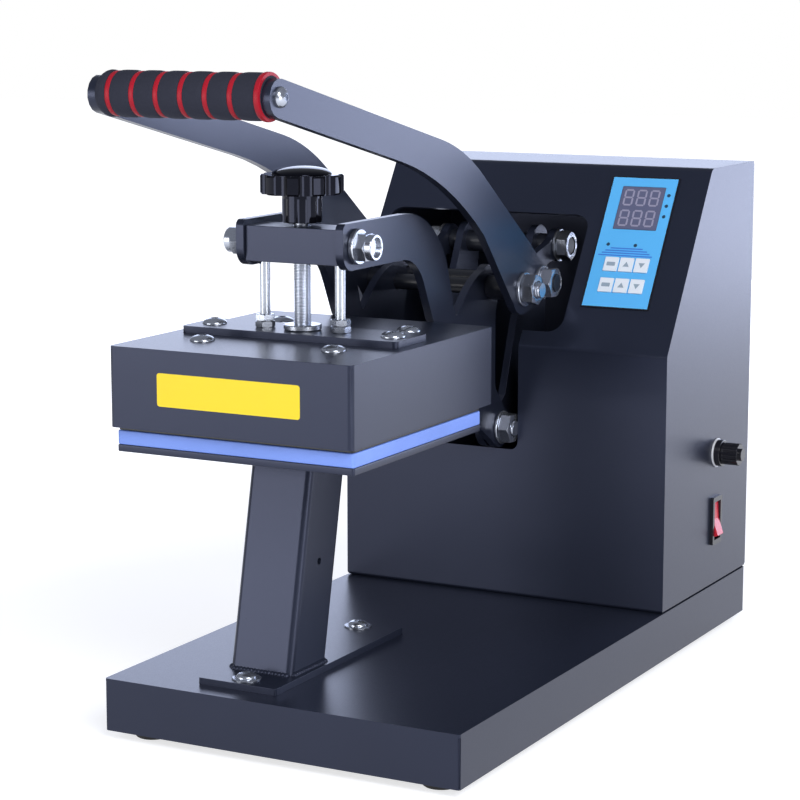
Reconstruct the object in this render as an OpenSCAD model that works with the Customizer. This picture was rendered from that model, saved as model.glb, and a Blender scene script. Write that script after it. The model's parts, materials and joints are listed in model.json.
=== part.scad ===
// Cap heat press: a lever closes a heated head on a square platen in front of a control housing.
// Millimetres. X points right, Y back and Z up; the origin is on the floor under the base's centre.
// Outlines of side plates are points of (y, z).

/* [Base] */
// Width of the base tray and the housing
base_w = 222; // [218:1:230]
// Depth of the base tray
base_d = 420; // [420:1:430]
// Height of the tray's sides
tray_h = 30; // [28:1:32]
// Thickness of the folded sheet
sheet = 2; // [1.5:0.1:2]
// Height of the rubber feet under the tray
foot_h = 5; // [4:0.5:6]
// Diameter of a rubber foot
foot_d = 22; // [20:1:24]

/* [Housing] */
// Height of the housing's top above the floor
house_top = 304; // [300:1:308]
// Place of the housing's front wall
house_front = 66; // [66:0.5:67]
// Height of the bend between the front wall and the sloped panel
bend_z = 195; // [194:1:196]
// Lean of the sloped panel, away from upright
lean = 32.6; // [32:0.1:33]
// Width of the wide part of the T opening
wide_w = 142; // [141:1:144]
// Wide part of the opening, as distances up the slope from the bend
wide_reach = [11, 93]; // [10:1:95]
// Width of the narrow slot under the wide part
slot_w = 90; // [90:1:94]
// Height of the slot's lower end
slot_z = 129; // [127:1:130]

/* [Clamp linkage] */
// Offset of the mechanism from the middle of the base
mech_x = -33.4; // [-34:0.1:-32]
// Thickness of the uprights, yoke plates, links and handle arms
plate_t = 5; // [4.5:0.5:5]
// Pivot of the yoke on the uprights
yoke_pivot = [64, 143]; // [63:0.1:144]
// Pivot of the handle on the yoke
handle_pivot = [46, 233.4]; // [45:0.1:234]
// Pin between the handle's heel and the links
crank_pivot = [72, 235]; // [71:0.1:236]
// Pivot of the links on the uprights
link_pivot = [134.7, 251.3]; // [134:0.1:252]
// Diameter of the pivot shafts
shaft_d = 10; // [10:0.1:10.2]
// Inner face of an upright, from the mechanism's middle
upright_x = 22.5; // [22:0.1:22.5]
// Inner face of a yoke plate, from the mechanism's middle
yoke_x = 29.5; // [29.5:0.1:29.8]
// Inner face of a link, from the mechanism's middle
link_x = 35.5; // [35.4:0.1:35.6]
// Inner face of the right handle arm, from the mechanism's middle
arm_x = 52.5; // [52.4:0.1:52.6]
// Inner face of the left handle arm, from the mechanism's middle
arm_left_x = 47.5; // [47:0.1:48]

/* [Handle] */
// Centre of the grip
grip_pos = [-240, 361]; // [-242:1:362]
// Diameter of the foam grip
grip_d = 24.5; // [24:0.5:26]
// Spacing of the rings on the grip
ring_pitch = 14.8; // [14.5:0.1:14.9]

/* [Platen and head] */
// Side of the square platen, its pad and the heating plate
platen = 150; // [148:1:152]
// Middle of the platen
platen_y = -122; // [-123:1:-121]
// Height of the platen plate's top
platen_top = 166; // [165:1:167]
// Thickness of the silicone pad
pad_t = 8; // [7:0.5:8]
// Thickness of the heating plate
heat_t = 12; // [10:1:14]
// Half width of the head's casing
case_half = 76.5; // [76.5:0.5:78]
// Front and back of the head's casing
case_y = [-201.5, -34]; // [-202:0.5:-34]
// Lower edge and top of the head's casing
case_z = [176.2, 221.5]; // [176:0.1:222]
// Thickness of the top plate
top_t = 4; // [4:0.5:5]

/* [Pressure screw] */
// Diameter of the pressure screw
screw_d = 10; // [10:0.1:10.2]
// Lower and upper face of the beam
beam_z = [264, 284]; // [263:1:285]
// Front and back of the beam
beam_y = [-134, -109]; // [-135:1:-108]
// Diameter of the fluted knob
knob_d = 47; // [45:0.5:48]
// Grooves round the knob
knob_flutes = 10; // [8:1:12]

/* [Control panel] */
// Middle of the panel, across and up the slope
panel_at = [69.2, 75.2]; // [69:0.1:76]
// Width and length of the panel
panel_size = [44.8, 91.4]; // [44:0.1:92]
// Width and length of a key
key_size = [9.2, 9.7]; // [9:0.1:10]
// Travel of a key
key_travel = 0.4; // [0.3:0.1:0.4]

/* [Hidden] */
$fn = 48;

tray_top = foot_h + tray_h;
half_w = base_w / 2;
back_y = base_d / 2;
slope_rise = 90 - lean;
slope_top_y = house_front + (house_top - bend_z) * tan(lean);
running = 0.1;
thread_play = 0.1;
face_gap = 0.05;
washer_d = 21;
nut_af = 17;
nut_h = 8;
post_w = 40;
post_foot = [-151, tray_top + 4];
post_head = [-125, platen_top - 4];
pad_top = platen_top + pad_t;
heat_z = pad_top + 0.3;
top_z = case_z[1] + top_t;
post_bolts = [-185, -59];
upright_bolts = [84, 126];
foot_at = [half_w - 20, back_y - 18];
rod_d = 6;
rod_x = 24.5;
rod_y = -121.5;
rod_top = 274.5;
beam_spigot_d = 14;
screw_y = -121.5;
screw_foot = 216.5;
screw_top = 309;
neck_z = 286;
knob_z = 302;
knob_top = 312.9;
case_screw_x = half_w - 9;
case_screw_y = [90, 186];
cover_holes = [for (x = [8 - half_w, half_w - 8], z = [52, house_top / 2 + 18, house_top - 16]) [x, z]];
inlet_at = [62, 80];
casing_screws_at = [for (s = [-1, 1], y = [-160, -74]) [s * 42, y]];
plate_screws_at = [[-58, platen_y], [58, platen_y]];
gland_at = [62, 200];
ring_first = -39.2;
ring_last = arm_x - 1.65;
ring_count = 7;
key_x = [60, 70.2, 80.4];
key_rows = [59.4, 45];
window_size = [28.8, 30];
window_at = [69.5, 99];
fuse_at = [152.8, 121.7];
switch_at = [152, 78];
rocker_tilt = 11;
charcoal = [0.2, 0.21, 0.25];
zinc = [0.75, 0.76, 0.8];
black = [0.07, 0.07, 0.08];

// Inner face of the arm on side s
function arm_in(s) = s < 0 ? arm_left_x : arm_x;
function unit(v) = v / norm(v);
function turn(a, b) = b - a > 180 ? b - a - 360 : (b - a < -180 ? b - a + 360 : b - a);
function arc(c, r, from, sweep, steps = 8) =
    [for (i = [0:steps]) c + r * [cos(from + sweep * i / steps), sin(from + sweep * i / steps)]];
// Arc of radius r that rounds corner p between its neighbours a and b
function corner(a, p, b, r) =
    let (u = unit(a - p), w = unit(b - p), half = acos(u * w) / 2)
    let (c = p + unit(u + w) * r / sin(half), q = p + u * r / tan(half), e = p + w * r / tan(half))
    let (from = atan2(q[1] - c[1], q[0] - c[0]), to = atan2(e[1] - c[1], e[0] - c[0]))
    arc(c, r, from, turn(from, to));
// Closed outline whose points are [y, z, radius of the corner]
function rounded(pts) =
    let (n = len(pts), xy = [for (p = pts) [p[0], p[1]]])
    [for (i = [0:n - 1]) each pts[i][2] == 0 ? [xy[i]]
        : corner(xy[(i + n - 1) % n], xy[i], xy[(i + 1) % n], pts[i][2])];
function box_outline(size, r) =
    let (w = size[0] / 2, h = size[1] / 2)
    rounded([[-w, -h, r], [w, -h, r], [w, h, r], [-w, h, r]]);

// Moves the mechanism's parts to their place beside the middle
module at_mech() {
    translate([mech_x, 0, 0]) children();
}

// Keeps the right side's shape, or mirrors it for the left side
module side(s) {
    at_mech() mirror([s < 0 ? 1 : 0, 0, 0]) children();
}

module both_sides() {
    for (s = [-1, 1]) side(s) children();
}

// Plate of a (y, z) outline, from x to x + t
module yz_plate(x, t) {
    translate([x, 0, 0]) rotate([90, 0, 90]) linear_extrude(t) children();
}

// Round bar along X about the point p of (y, z)
module x_bar(from, to, d, p) {
    translate([from, p[0], p[1]]) rotate([0, 90, 0]) cylinder(d = d, h = to - from);
}

module x_ring(from, to, d, hole, p) {
    difference() {
        x_bar(from, to, d, p);
        x_bar(from - 1, to + 1, hole, p);
    }
}

// Hexagon nut along X, with its flats up and down
module x_nut(from, h, af, hole, p) {
    difference() {
        translate([from, p[0], p[1]]) rotate([0, 90, 0]) cylinder(d = af / cos(30), h = h, $fn = 6);
        x_bar(from - 1, from + h + 1, hole, p);
    }
}

module z_ring(d, hole, h) {
    difference() {
        cylinder(d = d, h = h);
        translate([0, 0, -1]) cylinder(d = hole, h = h + 2);
    }
}

module z_nut(af, hole, h) {
    difference() {
        cylinder(d = af / cos(30), h = h, $fn = 6);
        translate([0, 0, -1]) cylinder(d = hole, h = h + 2);
    }
}

// Low round head with a flange and a socket; its seat is at z = 0 and its shank points down
module flange_bolt(d, flange_d, shank) {
    flange_h = 1.2;
    head_r = 5.8;
    rise = 3;
    ball_r = (head_r * head_r + rise * rise) / (2 * rise);
    difference() {
        union() {
            cylinder(d = flange_d, h = flange_h);
            intersection() {
                translate([0, 0, flange_h + rise - ball_r]) sphere(r = ball_r);
                cylinder(r = head_r, h = 2 * rise);
            }
        }
        translate([0, 0, flange_h + rise - 1.8]) cylinder(d = 5, h = 3, $fn = 6);
    }
    translate([0, 0, -shank]) cylinder(d = d, h = shank + 0.4);
}

// Screw with a domed head; its seat is at z = 0 and its shank points down
module dome_screw(d, head_d, head_h, shank) {
    difference() {
        ball_r = (head_d * head_d / 4 + head_h * head_h) / (2 * head_h);
        translate([0, 0, head_h - ball_r]) sphere(r = ball_r);
        translate([0, 0, -2 * ball_r]) cylinder(d = 3 * ball_r, h = 2 * ball_r);
        translate([0, 0, head_h - 1.2]) cylinder(d = head_d * 0.36, h = 2, $fn = 6);
    }
    translate([0, 0, -shank]) cylinder(d = d, h = shank + 0.4);
}

// Frame on the sloped panel: X across, Y up the slope and Z outwards
module on_slope() {
    translate([0, house_front, bend_z]) rotate([slope_rise, 0, 0]) children();
}

// Folded tray, open underneath, with corner tabs that take the feet
module base_tray() {
    color(charcoal) difference() {
        union() {
            difference() {
                translate([0, 0, foot_h]) linear_extrude(tray_h) polygon(box_outline([base_w, base_d], 1.6));
                translate([0, 0, foot_h - 1]) linear_extrude(tray_h + 1 - sheet)
                    polygon(box_outline([base_w - 2 * sheet, base_d - 2 * sheet], 0.6));
            }
            for (x = [-1, 1], y = [-1, 1])
                translate([x * (foot_at[0] + 1), y * (foot_at[1] - 1), foot_h])
                    linear_extrude(sheet) polygon(box_outline([35, 35], 4));
        }
        for (x = [-1, 1], y = [-1, 1])
            translate([x * foot_at[0], y * foot_at[1], 0]) cylinder(d = 6.4, h = foot_h + sheet + 1);
        at_mech() for (y = post_bolts) translate([0, y, tray_h]) cylinder(d = 8.4, h = 20);
        both_sides() for (y = upright_bolts) translate([12, y, tray_h]) cylinder(d = 8.4, h = 20);
        for (x = [-1, 1], y = case_screw_y) translate([x * case_screw_x, y, tray_h])
            cylinder(d = 4.2, h = 20);
    }
}

// Push-in feet, each with a neck through the tray and a button that holds it
module rubber_feet() {
    color(black) for (x = [-1, 1], y = [-1, 1]) translate([x * foot_at[0], y * foot_at[1], 0]) {
        cylinder(d1 = foot_d - 2, d2 = foot_d, h = foot_h - 0.05);
        cylinder(d = 6.3, h = foot_h + sheet + 1);
        translate([0, 0, foot_h + sheet + 0.05]) cylinder(d1 = 9, d2 = 5, h = 3);
    }
}

module post_foot_plate() {
    length = post_bolts[1] - post_bolts[0] + 21;
    color(charcoal) at_mech() difference() {
        translate([0, platen_y, tray_top]) linear_extrude(4) polygon(box_outline([50, length], 1.5));
        for (y = post_bolts) translate([0, y, tray_h]) cylinder(d = 8.4, h = 20);
    }
}

// Square tube that leans back under the platen, welded at its foot
module post_tube() {
    rise = post_head[1] - post_foot[1];
    tilt = atan((post_head[0] - post_foot[0]) / rise);
    middle_y = (post_head[0] + post_foot[0]) / 2;
    middle_z = (post_head[1] + post_foot[1]) / 2;
    bead = 3;
    color(charcoal) at_mech() difference() {
        union() {
            intersection() {
                translate([0, middle_y, middle_z]) rotate([-tilt, 0, 0])
                    linear_extrude(2 * rise, center = true)
                        polygon(box_outline([post_w, post_w * cos(tilt)], 4));
                translate([-50, -250, post_foot[1]]) cube([100, 250, rise]);
            }
            for (s = [-1, 1]) translate([s * post_w / 2, post_foot[0] + 0.3, post_foot[1]])
                rotate([0, 45, 0]) cube([bead, post_w - 8, bead], center = true);
        }
        translate([0, middle_y, middle_z]) rotate([-tilt, 0, 0])
            cube([post_w - 5, post_w * cos(tilt) - 5, 3 * rise], center = true);
        translate([-50, -250, post_foot[1] - 20]) cube([100, 250, 20]);
        translate([0, -139, 98]) rotate([0, 90, 0]) cylinder(d = 4, h = 30);
    }
}

// Flange bolts through the tray: two for the post and four for the uprights
module tray_bolts() {
    color(zinc) at_mech() for (y = post_bolts)
        translate([0, y, tray_top + 4]) flange_bolt(8, 16.4, 16);
    color(zinc) both_sides() for (y = upright_bolts)
        translate([12, y, tray_top + plate_t]) flange_bolt(8, 16.4, 17);
}

module tray_nuts() {
    color(zinc) at_mech() for (y = post_bolts)
        translate([0, y, tray_top - sheet - 6.5]) z_nut(13, 8 + thread_play, 6.5);
    color(zinc) both_sides() for (y = upright_bolts)
        translate([12, y, tray_top - sheet - 6.5]) z_nut(13, 8 + thread_play, 6.5);
}

// Square plate on the post
module lower_platen() {
    color(charcoal) at_mech() translate([0, platen_y, platen_top - 4])
        linear_extrude(4) polygon(box_outline([platen, platen], 1.5));
}

module silicone_pad() {
    color([0.42, 0.55, 0.95]) at_mech() translate([0, platen_y, platen_top])
        linear_extrude(pad_t) polygon(box_outline([platen, platen], 2));
}

function house_outline() = [
    [house_front, tray_top, 0], [house_front, bend_z, 6], [slope_top_y, house_top, 6],
    [back_y, house_top, 0], [back_y, tray_top, 0]];
function house_inside() =
    let (y = house_front + sheet, z = house_top - sheet)
    [[y, tray_top + sheet, 0], [y, bend_z - sheet * tan(lean / 2), 4],
    [slope_top_y + sheet * tan(slope_rise / 2), z, 4], [back_y + 20, z, 0],
    [back_y + 20, tray_top + sheet, 0]];

// Opening for the linkage: wide on the slope, narrow through the bend and down the front wall
module t_opening() {
    reach = wide_reach[1] - wide_reach[0];
    at_mech() {
        on_slope() translate([0, wide_reach[0] + reach / 2, -10]) linear_extrude(20)
            polygon(box_outline([wide_w, reach], 10));
        on_slope() translate([0, wide_reach[0] / 2 + 5, -8])
            cube([slot_w, wide_reach[0] + 30, 16], center = true);
        translate([0, house_front + 10, slot_z + 50]) rotate([90, 0, 0]) linear_extrude(20)
            polygon(box_outline([slot_w, 100], 5));
    }
}

// Folded shell, open at the back, with a return lip that is screwed to the tray
module housing_shell() {
    lip = 16;
    color(charcoal) difference() {
        yz_plate(-half_w, base_w) polygon(rounded(house_outline()));
        yz_plate(sheet - half_w, base_w - 2 * sheet) polygon(rounded(house_inside()));
        translate([lip - half_w, house_front + lip, tray_top - 1]) cube([base_w - 2 * lip, base_d, 10]);
        at_mech() translate([-upright_x - plate_t - 1.5, house_front + sheet, tray_top - 1])
            cube([2 * upright_x + 2 * plate_t + 3, 30, sheet + 1]);
        t_opening();
        on_slope() translate([panel_at[0], panel_at[1], -10])
            linear_extrude(20) polygon(box_outline([panel_size[0] - 4, panel_size[1] - 4], 1));
        translate([half_w - 10, fuse_at[0], fuse_at[1]]) rotate([0, 90, 0]) cylinder(d = 12.6, h = 20);
        translate([half_w - 10, switch_at[0] - 6.5, switch_at[1] - 14]) cube([20, 13, 28]);
        for (x = [-1, 1], y = case_screw_y)
            translate([x * case_screw_x, y, tray_h]) cylinder(d = 4.2, h = 20);
        for (p = cover_holes) translate([p[0], back_y - 20, p[1]]) rotate([-90, 0, 0])
            cylinder(d = 3.1, h = 30);
    }
    // Tabs inside the side walls that take the rear cover's screws
    color(charcoal) for (p = cover_holes) difference() {
        translate([p[0] > 0 ? p[0] - 5 : 1 - half_w, back_y - 2.2, p[1] - 6])
            cube([half_w + 4 - abs(p[0]), 2, 12]);
        translate([p[0], back_y - 20, p[1]]) rotate([-90, 0, 0]) cylinder(d = 3.1, h = 30);
    }
}

// Flat cover over the housing's open back, with slots that let warm air out
module rear_cover() {
    color(charcoal) difference() {
        translate([0, back_y + sheet, 0]) rotate([90, 0, 0]) translate([0, (house_top + tray_top) / 2, 0])
            linear_extrude(sheet) polygon(box_outline([base_w - 1, house_top - tray_top - 1], 2));
        for (i = [0:6], x = [20, 68]) translate([x, back_y + 1, 215 + 9 * i])
            rotate([90, 0, 0]) linear_extrude(10, center = true) polygon(box_outline([44, 4], 1.9));
        translate([inlet_at[0] - 13.6, back_y - 9, inlet_at[1] - 10.1]) cube([27.2, 20, 20.2]);
        for (p = cover_holes) translate([p[0], back_y - 20, p[1]]) rotate([-90, 0, 0])
            cylinder(d = 4.2, h = 30);
    }
}

// Screws of the rear cover, and those that hold the housing to the tray
module case_screws() {
    color(zinc) for (p = cover_holes) translate([p[0], back_y + sheet, p[1]])
        rotate([-90, 0, 0]) dome_screw(3, 8, 2.4, 5);
    color(zinc) for (x = [-1, 1], y = case_screw_y)
        translate([x * case_screw_x, y, tray_top + sheet]) dome_screw(4, 8, 2.4, 7);
}

// Upright with a foot flange; it carries the yoke's pivot and the links' pivot
module upright() {
    front = house_front + sheet + 1.5;
    difference() {
        union() {
            yz_plate(upright_x, plate_t) polygon([[front, tray_top], [front, 150], [84, 160], [98, 200],
                [112, 232], [link_pivot[0] - 10.8, link_pivot[1] + 6.2],
                [link_pivot[0] + 12.4, link_pivot[1]],
                [142, 190], [142, tray_top]]);
            for (p = [yoke_pivot, link_pivot]) x_bar(upright_x, upright_x + plate_t, 25, p);
            translate([1.5, front, tray_top]) cube([upright_x - 1, 142 - front, plate_t]);
        }
        x_bar(upright_x - 1, upright_x + plate_t + 1, shaft_d + 0.04, yoke_pivot);
        x_bar(upright_x - 1, upright_x + plate_t + 1, shaft_d + 4.04, link_pivot);
        for (y = upright_bolts) translate([12, y, tray_h]) cylinder(d = 8.4, h = 20);
    }
}

module upright_left() {
    color(charcoal) side(-1) upright();
}

module upright_right() {
    color(charcoal) side(1) upright();
}

// Shaft that the yoke turns on
module lower_shaft() {
    reach = yoke_x + plate_t + 10.5;
    color(zinc) at_mech() x_bar(-reach, reach, shaft_d, yoke_pivot);
}

// Shaft that the links turn on, with a thicker middle between their shoulders
module rear_shaft() {
    color(zinc) at_mech() {
        x_bar(-link_x - 14, link_x + 14, shaft_d, link_pivot);
        x_bar(0.2 - link_x, link_x - 0.2, shaft_d + 4, link_pivot);
    }
}

// Nuts and washers of the two fixed shafts
module shaft_nuts() {
    yoke_out = yoke_x + plate_t;
    link_out = link_x + plate_t;
    hole = shaft_d + thread_play;
    color(zinc) both_sides() {
        x_ring(yoke_x - 1.8, yoke_x - 0.2, washer_d, hole, yoke_pivot);
        x_ring(yoke_out + 0.2, yoke_out + 1.7, washer_d, hole, yoke_pivot);
        x_nut(yoke_out + 1.7 + face_gap, nut_h - 0.5, nut_af, hole, yoke_pivot);
        x_ring(link_out + 0.2, link_out + 1.7, washer_d, hole, link_pivot);
        x_nut(link_out + 1.7 + face_gap, nut_h - 0.5, nut_af, hole, link_pivot);
    }
}

// Temperature and time controller behind the panel
module controller_case() {
    depth = 34;
    color(black) on_slope() translate([panel_at[0], panel_at[1], -depth]) difference() {
        linear_extrude(depth) polygon(box_outline([panel_size[0] - 4.4, panel_size[1] - 4.4], 1));
        translate([0, 0, depth - 6]) linear_extrude(10)
            polygon(box_outline([panel_size[0] - 8, panel_size[1] - 8], 1));
    }
}

// Face of the panel, with the window's opening and a hole for each key
module panel_face() {
    color([0.36, 0.7, 1]) on_slope() difference() {
        translate([panel_at[0], panel_at[1], 0.02]) linear_extrude(1) polygon(box_outline(panel_size, 1.5));
        translate([window_at[0], window_at[1], -5]) linear_extrude(10)
            polygon(box_outline(window_size + [0.4, 0.4], 0.5));
        for (i = [0:5]) key_place(i) translate([0, 0, -5]) linear_extrude(10)
            polygon(box_outline(key_size + [0.4, 0.4], 0.6));
    }
}

module display_window() {
    color([0.1, 0.12, 0.3]) on_slope() translate([window_at[0], window_at[1], -1.5])
        linear_extrude(2.7) polygon(box_outline(window_size, 0.4));
}

module key_place(i) {
    translate([key_x[i % 3], key_rows[floor(i / 3)], 0]) children();
}

module key(i) {
    color([0.92, 0.93, 0.97]) on_slope() key_place(i) translate([0, 0, -1.4])
        linear_extrude(2.5 + key_travel) polygon(box_outline(key_size, 0.5));
}

// Frame of the power switch: a snap-in body with a raised rim
module switch_bezel() {
    rim = [15.6, 31];
    color(black) translate([half_w, switch_at[0], switch_at[1]]) difference() {
        union() {
            rotate([90, 0, 90]) linear_extrude(2.2) polygon(box_outline(rim, 1.5));
            translate([-22, -6.3, -13.8]) cube([22.1, 12.6, 27.6]);
        }
        translate([-9, -5.2, -12.4]) cube([20, 10.4, 24.8]);
        translate([-3, 0, 0]) rotate([90, 0, 0]) cylinder(d = 3.1, h = 12.8, center = true);
    }
}

// Rocker on its two trunnions, with its lower end pressed out
module rocker() {
    pivot_x = half_w - 3;
    color([0.75, 0.05, 0.12]) translate([pivot_x, switch_at[0], switch_at[1]]) rotate([0, -rocker_tilt, 0])
        rotate([90, 0, 0]) linear_extrude(9.8, center = true)
            polygon([[-2.5, -5], [2, -11.2], [5.6, -10.6], [4.2, 0], [5.6, 10.6], [2, 11.2], [-2.5, 5]]);
    color([0.75, 0.05, 0.12]) translate([pivot_x, switch_at[0], switch_at[1]]) rotate([90, 0, 0])
        cylinder(d = 3, h = 12, center = true);
}

// Panel fuse holder with its washer, nut and body
module fuse_holder() {
    color(black) difference() {
        union() {
            x_bar(half_w - 30, half_w + 5, 12.4, fuse_at);
            x_ring(half_w + 1.1, half_w + 5, 17, 12, fuse_at);
        }
        x_bar(half_w - 28, half_w + 10, 7.4, fuse_at);
        x_bar(half_w - 8, half_w + 10, 10.6, fuse_at);
    }
    color([0.9, 0.9, 0.92]) x_ring(half_w + 0.05, half_w + 1.05, 18.6, 13.1, fuse_at);
    color(black) x_nut(half_w - sheet - 4, 3.9, 15, 12.5, fuse_at);
}

module fuse() {
    color([0.85, 0.87, 0.9]) {
        x_bar(half_w - 27, half_w + 4, 5, fuse_at);
        for (x = [-27.5, -2]) x_bar(half_w + x, half_w + x + 6, 6.3, fuse_at);
    }
}

// Ridged cap that turns a quarter to let the fuse out
module fuse_cap() {
    ridges = 16;
    color(black) difference() {
        union() {
            x_bar(half_w + 5.3, half_w + 16, 14, fuse_at);
            x_bar(half_w - 6, half_w + 5.5, 10.4, fuse_at);
            x_bar(half_w + 15, half_w + 18, 8, fuse_at);
        }
        x_bar(half_w - 10, half_w + 6, 6.6, fuse_at);
        for (i = [0:ridges - 1]) translate([half_w + 6.5, fuse_at[0], fuse_at[1]])
            rotate([360 * i / ridges, 0, 0]) translate([0, 0, 7.3]) rotate([0, 90, 0])
                cylinder(r = 0.8, h = 20);
    }
}

// Three-pin appliance inlet in the rear cover
module power_inlet() {
    face = back_y + sheet;
    color(black) difference() {
        union() {
            translate([inlet_at[0], face + 3, inlet_at[1]]) rotate([90, 0, 0])
                linear_extrude(3) polygon(box_outline([50, 24], 5));
            translate([inlet_at[0] - 13.4, face - 20, inlet_at[1] - 9.9]) cube([26.8, 21, 19.8]);
        }
        translate([inlet_at[0], face + 10, inlet_at[1]]) rotate([90, 0, 0])
            linear_extrude(26) polygon(box_outline([23, 15.5], 3));
        for (s = [-1, 1]) translate([inlet_at[0] + s * 20, face - 5, inlet_at[1]])
            rotate([-90, 0, 0]) cylinder(d = 3.4, h = 20);
    }
    color(zinc) for (x = [-7, 0, 7])
        translate([inlet_at[0] + x - 1, face - 17, inlet_at[1] - (x == 0 ? -2 : 3)]) cube([2, 15, 4]);
}

// Outline of a yoke plate: a gooseneck from the beam back and down to the lower pivot
function yoke_outline() = [
    [-136, 287.3, 4], [-21.5, 287.3, 58], [0.5, 218.5, 3], [22, 239.5, 60],
    [handle_pivot[0], handle_pivot[1] + 14, 0], [handle_pivot[0], handle_pivot[1], 0],
    [handle_pivot[0] + 12.5, handle_pivot[1] - 6, 0], [55, 216, 6], [55, 170, 10], [68, 155, 0],
    [yoke_pivot[0], yoke_pivot[1], 0], [yoke_pivot[0] - 5, yoke_pivot[1] - 11.4, 0], [34, 147, 16],
    [-29, 222.2, 0], [-48.6, 261, 29], [-136, 261, 10]];

// Side plate of the yoke, with a lobe at the handle's pivot and one at its own
module yoke_plate() {
    bolt = [(beam_y[0] + beam_y[1]) / 2, (beam_z[0] + beam_z[1]) / 2];
    difference() {
        union() {
            yz_plate(yoke_x, plate_t) polygon(rounded(yoke_outline()));
            x_bar(yoke_x, yoke_x + plate_t, 28, handle_pivot);
            x_bar(yoke_x, yoke_x + plate_t, 25, yoke_pivot);
        }
        for (p = [yoke_pivot, handle_pivot])
            x_bar(yoke_x - 1, yoke_x + plate_t + 1, shaft_d + running, p);
        x_bar(yoke_x - 1, yoke_x + plate_t + 1, beam_spigot_d + running, bolt);
    }
}

module yoke_left() {
    color(charcoal) side(-1) yoke_plate();
}

module yoke_right() {
    color(charcoal) side(1) yoke_plate();
}

// Block between the yoke plates, with a spigot through each: it guides the rods and holds the
// screw's thread
module beam() {
    size = [beam_y[1] - beam_y[0], beam_z[1] - beam_z[0]];
    middle = [beam_y[0] + size[0] / 2, beam_z[0] + size[1] / 2];
    bolt_end = rod_x + rod_d / 2 + 0.8;
    color(charcoal) at_mech() difference() {
        union() {
            translate([-yoke_x, beam_y[0], beam_z[0]]) cube([2 * yoke_x, size[0], size[1]]);
            x_bar(-yoke_x - plate_t + 0.2, yoke_x + plate_t - 0.2, beam_spigot_d, middle);
        }
        translate([0, screw_y, beam_z[0] - 1]) cylinder(d = screw_d + running, h = size[1] + 2);
        for (s = [-1, 1]) translate([s * rod_x, rod_y, beam_z[0] - 1])
            cylinder(d = rod_d + running, h = size[1] - 1);
        for (from = [bolt_end, -bolt_end - 10]) x_bar(from, from + 10, shaft_d + thread_play, middle);
    }
}

// Bolt with a flange under its hexagon and a hollow collar on its end
module collar_bolt(shank) {
    difference() {
        union() {
            cylinder(d = 20, h = 3);
            cylinder(d = 15 / cos(30), h = 9, $fn = 6);
            cylinder(d = 14.5, h = 13);
            translate([0, 0, -shank]) cylinder(d = shaft_d, h = shank + 1);
        }
        translate([0, 0, 11]) cylinder(d = 11, h = 4);
    }
}

// Flange bolts that clamp the yoke plates to the beam; they end just outside the guide rods
module beam_bolts() {
    bolt = [(beam_y[0] + beam_y[1]) / 2, (beam_z[0] + beam_z[1]) / 2];
    shank = yoke_x + plate_t - rod_x - rod_d / 2 - 1;
    color(zinc) both_sides() translate([yoke_x + plate_t, bolt[0], bolt[1]])
        rotate([0, 90, 0]) collar_bolt(shank);
}

// Outline of a handle arm, from the grip down to the pivot
function arm_outline() =
    let (g = grip_pos, h = handle_pivot, c = crank_pivot)
    concat(arc(g - [0, 0.5], 9.9, 76.6, 180), [[-119.7, 322.8]],
    corner([-119.7, 322.8], [-54.4, 307.7], [33, 238.4], 260),
    [[h[0] - 13.4, h[1] - 7.8], [h[0], h[1] - 15.5], [c[0], c[1] - 10.5], [c[0] + 10.5, c[1]],
    [c[0] + 7, c[1] + 7.8]], corner([c[0] + 7, c[1] + 7.8], [54, 261.6], [-33.3, 323.2], 16),
    corner([54, 261.6], [-33.3, 323.2], [-237, 371.8], 150));

module handle_arm(x) {
    grip_hole = 8.2;
    difference() {
        union() {
            yz_plate(x, plate_t) polygon(arm_outline());
            x_bar(x, x + plate_t, 31, handle_pivot);
            x_bar(x, x + plate_t, 21, crank_pivot);
        }
        for (p = [handle_pivot, crank_pivot])
            x_bar(x - 1, x + plate_t + 1, shaft_d + thread_play, p);
        x_bar(x - 1, x + plate_t + 1, grip_hole, grip_pos);
    }
}

module arm_left() {
    color(charcoal) side(-1) handle_arm(arm_left_x);
}

module arm_right() {
    color(charcoal) side(1) handle_arm(arm_x);
}

// Shaft through both arms and both yoke plates
module handle_shaft() {
    stand_out = plate_t + 13;
    color(zinc) at_mech() x_bar(-arm_left_x - stand_out, arm_x + stand_out, shaft_d, handle_pivot);
}

// Sleeves that keep the arms off the yoke plates
module handle_bushes() {
    color(zinc) for (s = [-1, 1]) side(s)
        x_ring(yoke_x + plate_t + 0.3, arm_in(s), 15, shaft_d + running, handle_pivot);
}

// Shouldered pins in the arms' heels, on the line of the links' front shaft
module crank_pins() {
    inner = link_x + plate_t + 0.6;
    color(zinc) for (s = [-1, 1]) side(s) {
        x_bar(inner, arm_in(s) + plate_t + 11, shaft_d, crank_pivot);
        x_bar(arm_in(s) - 4, arm_in(s), 15, crank_pivot);
    }
}

// Nuts and washers on the outer faces of the arms
module handle_nuts() {
    hole = shaft_d + thread_play;
    color(zinc) for (s = [-1, 1], p = [handle_pivot, crank_pivot]) side(s)
        translate([arm_in(s) + plate_t, 0, 0]) {
            x_ring(face_gap, 2, washer_d, hole, p);
            x_nut(2 + face_gap, nut_h, nut_af, hole, p);
        }
}

// Rod through the grip, with a button head on the right
module grip_rod() {
    face = arm_x + plate_t;
    color(zinc) at_mech() {
        x_bar(-arm_left_x - plate_t - 2, face, 8, grip_pos);
        difference() {
            translate([face, grip_pos[0], grip_pos[1]]) rotate([0, 90, 0])
                cylinder(d1 = 10.8, d2 = 7.6, h = 4);
            translate([face + 2, grip_pos[0], grip_pos[1]]) rotate([0, 90, 0])
                cylinder(d = 4.4, h = 4, $fn = 6);
        }
    }
}

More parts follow.
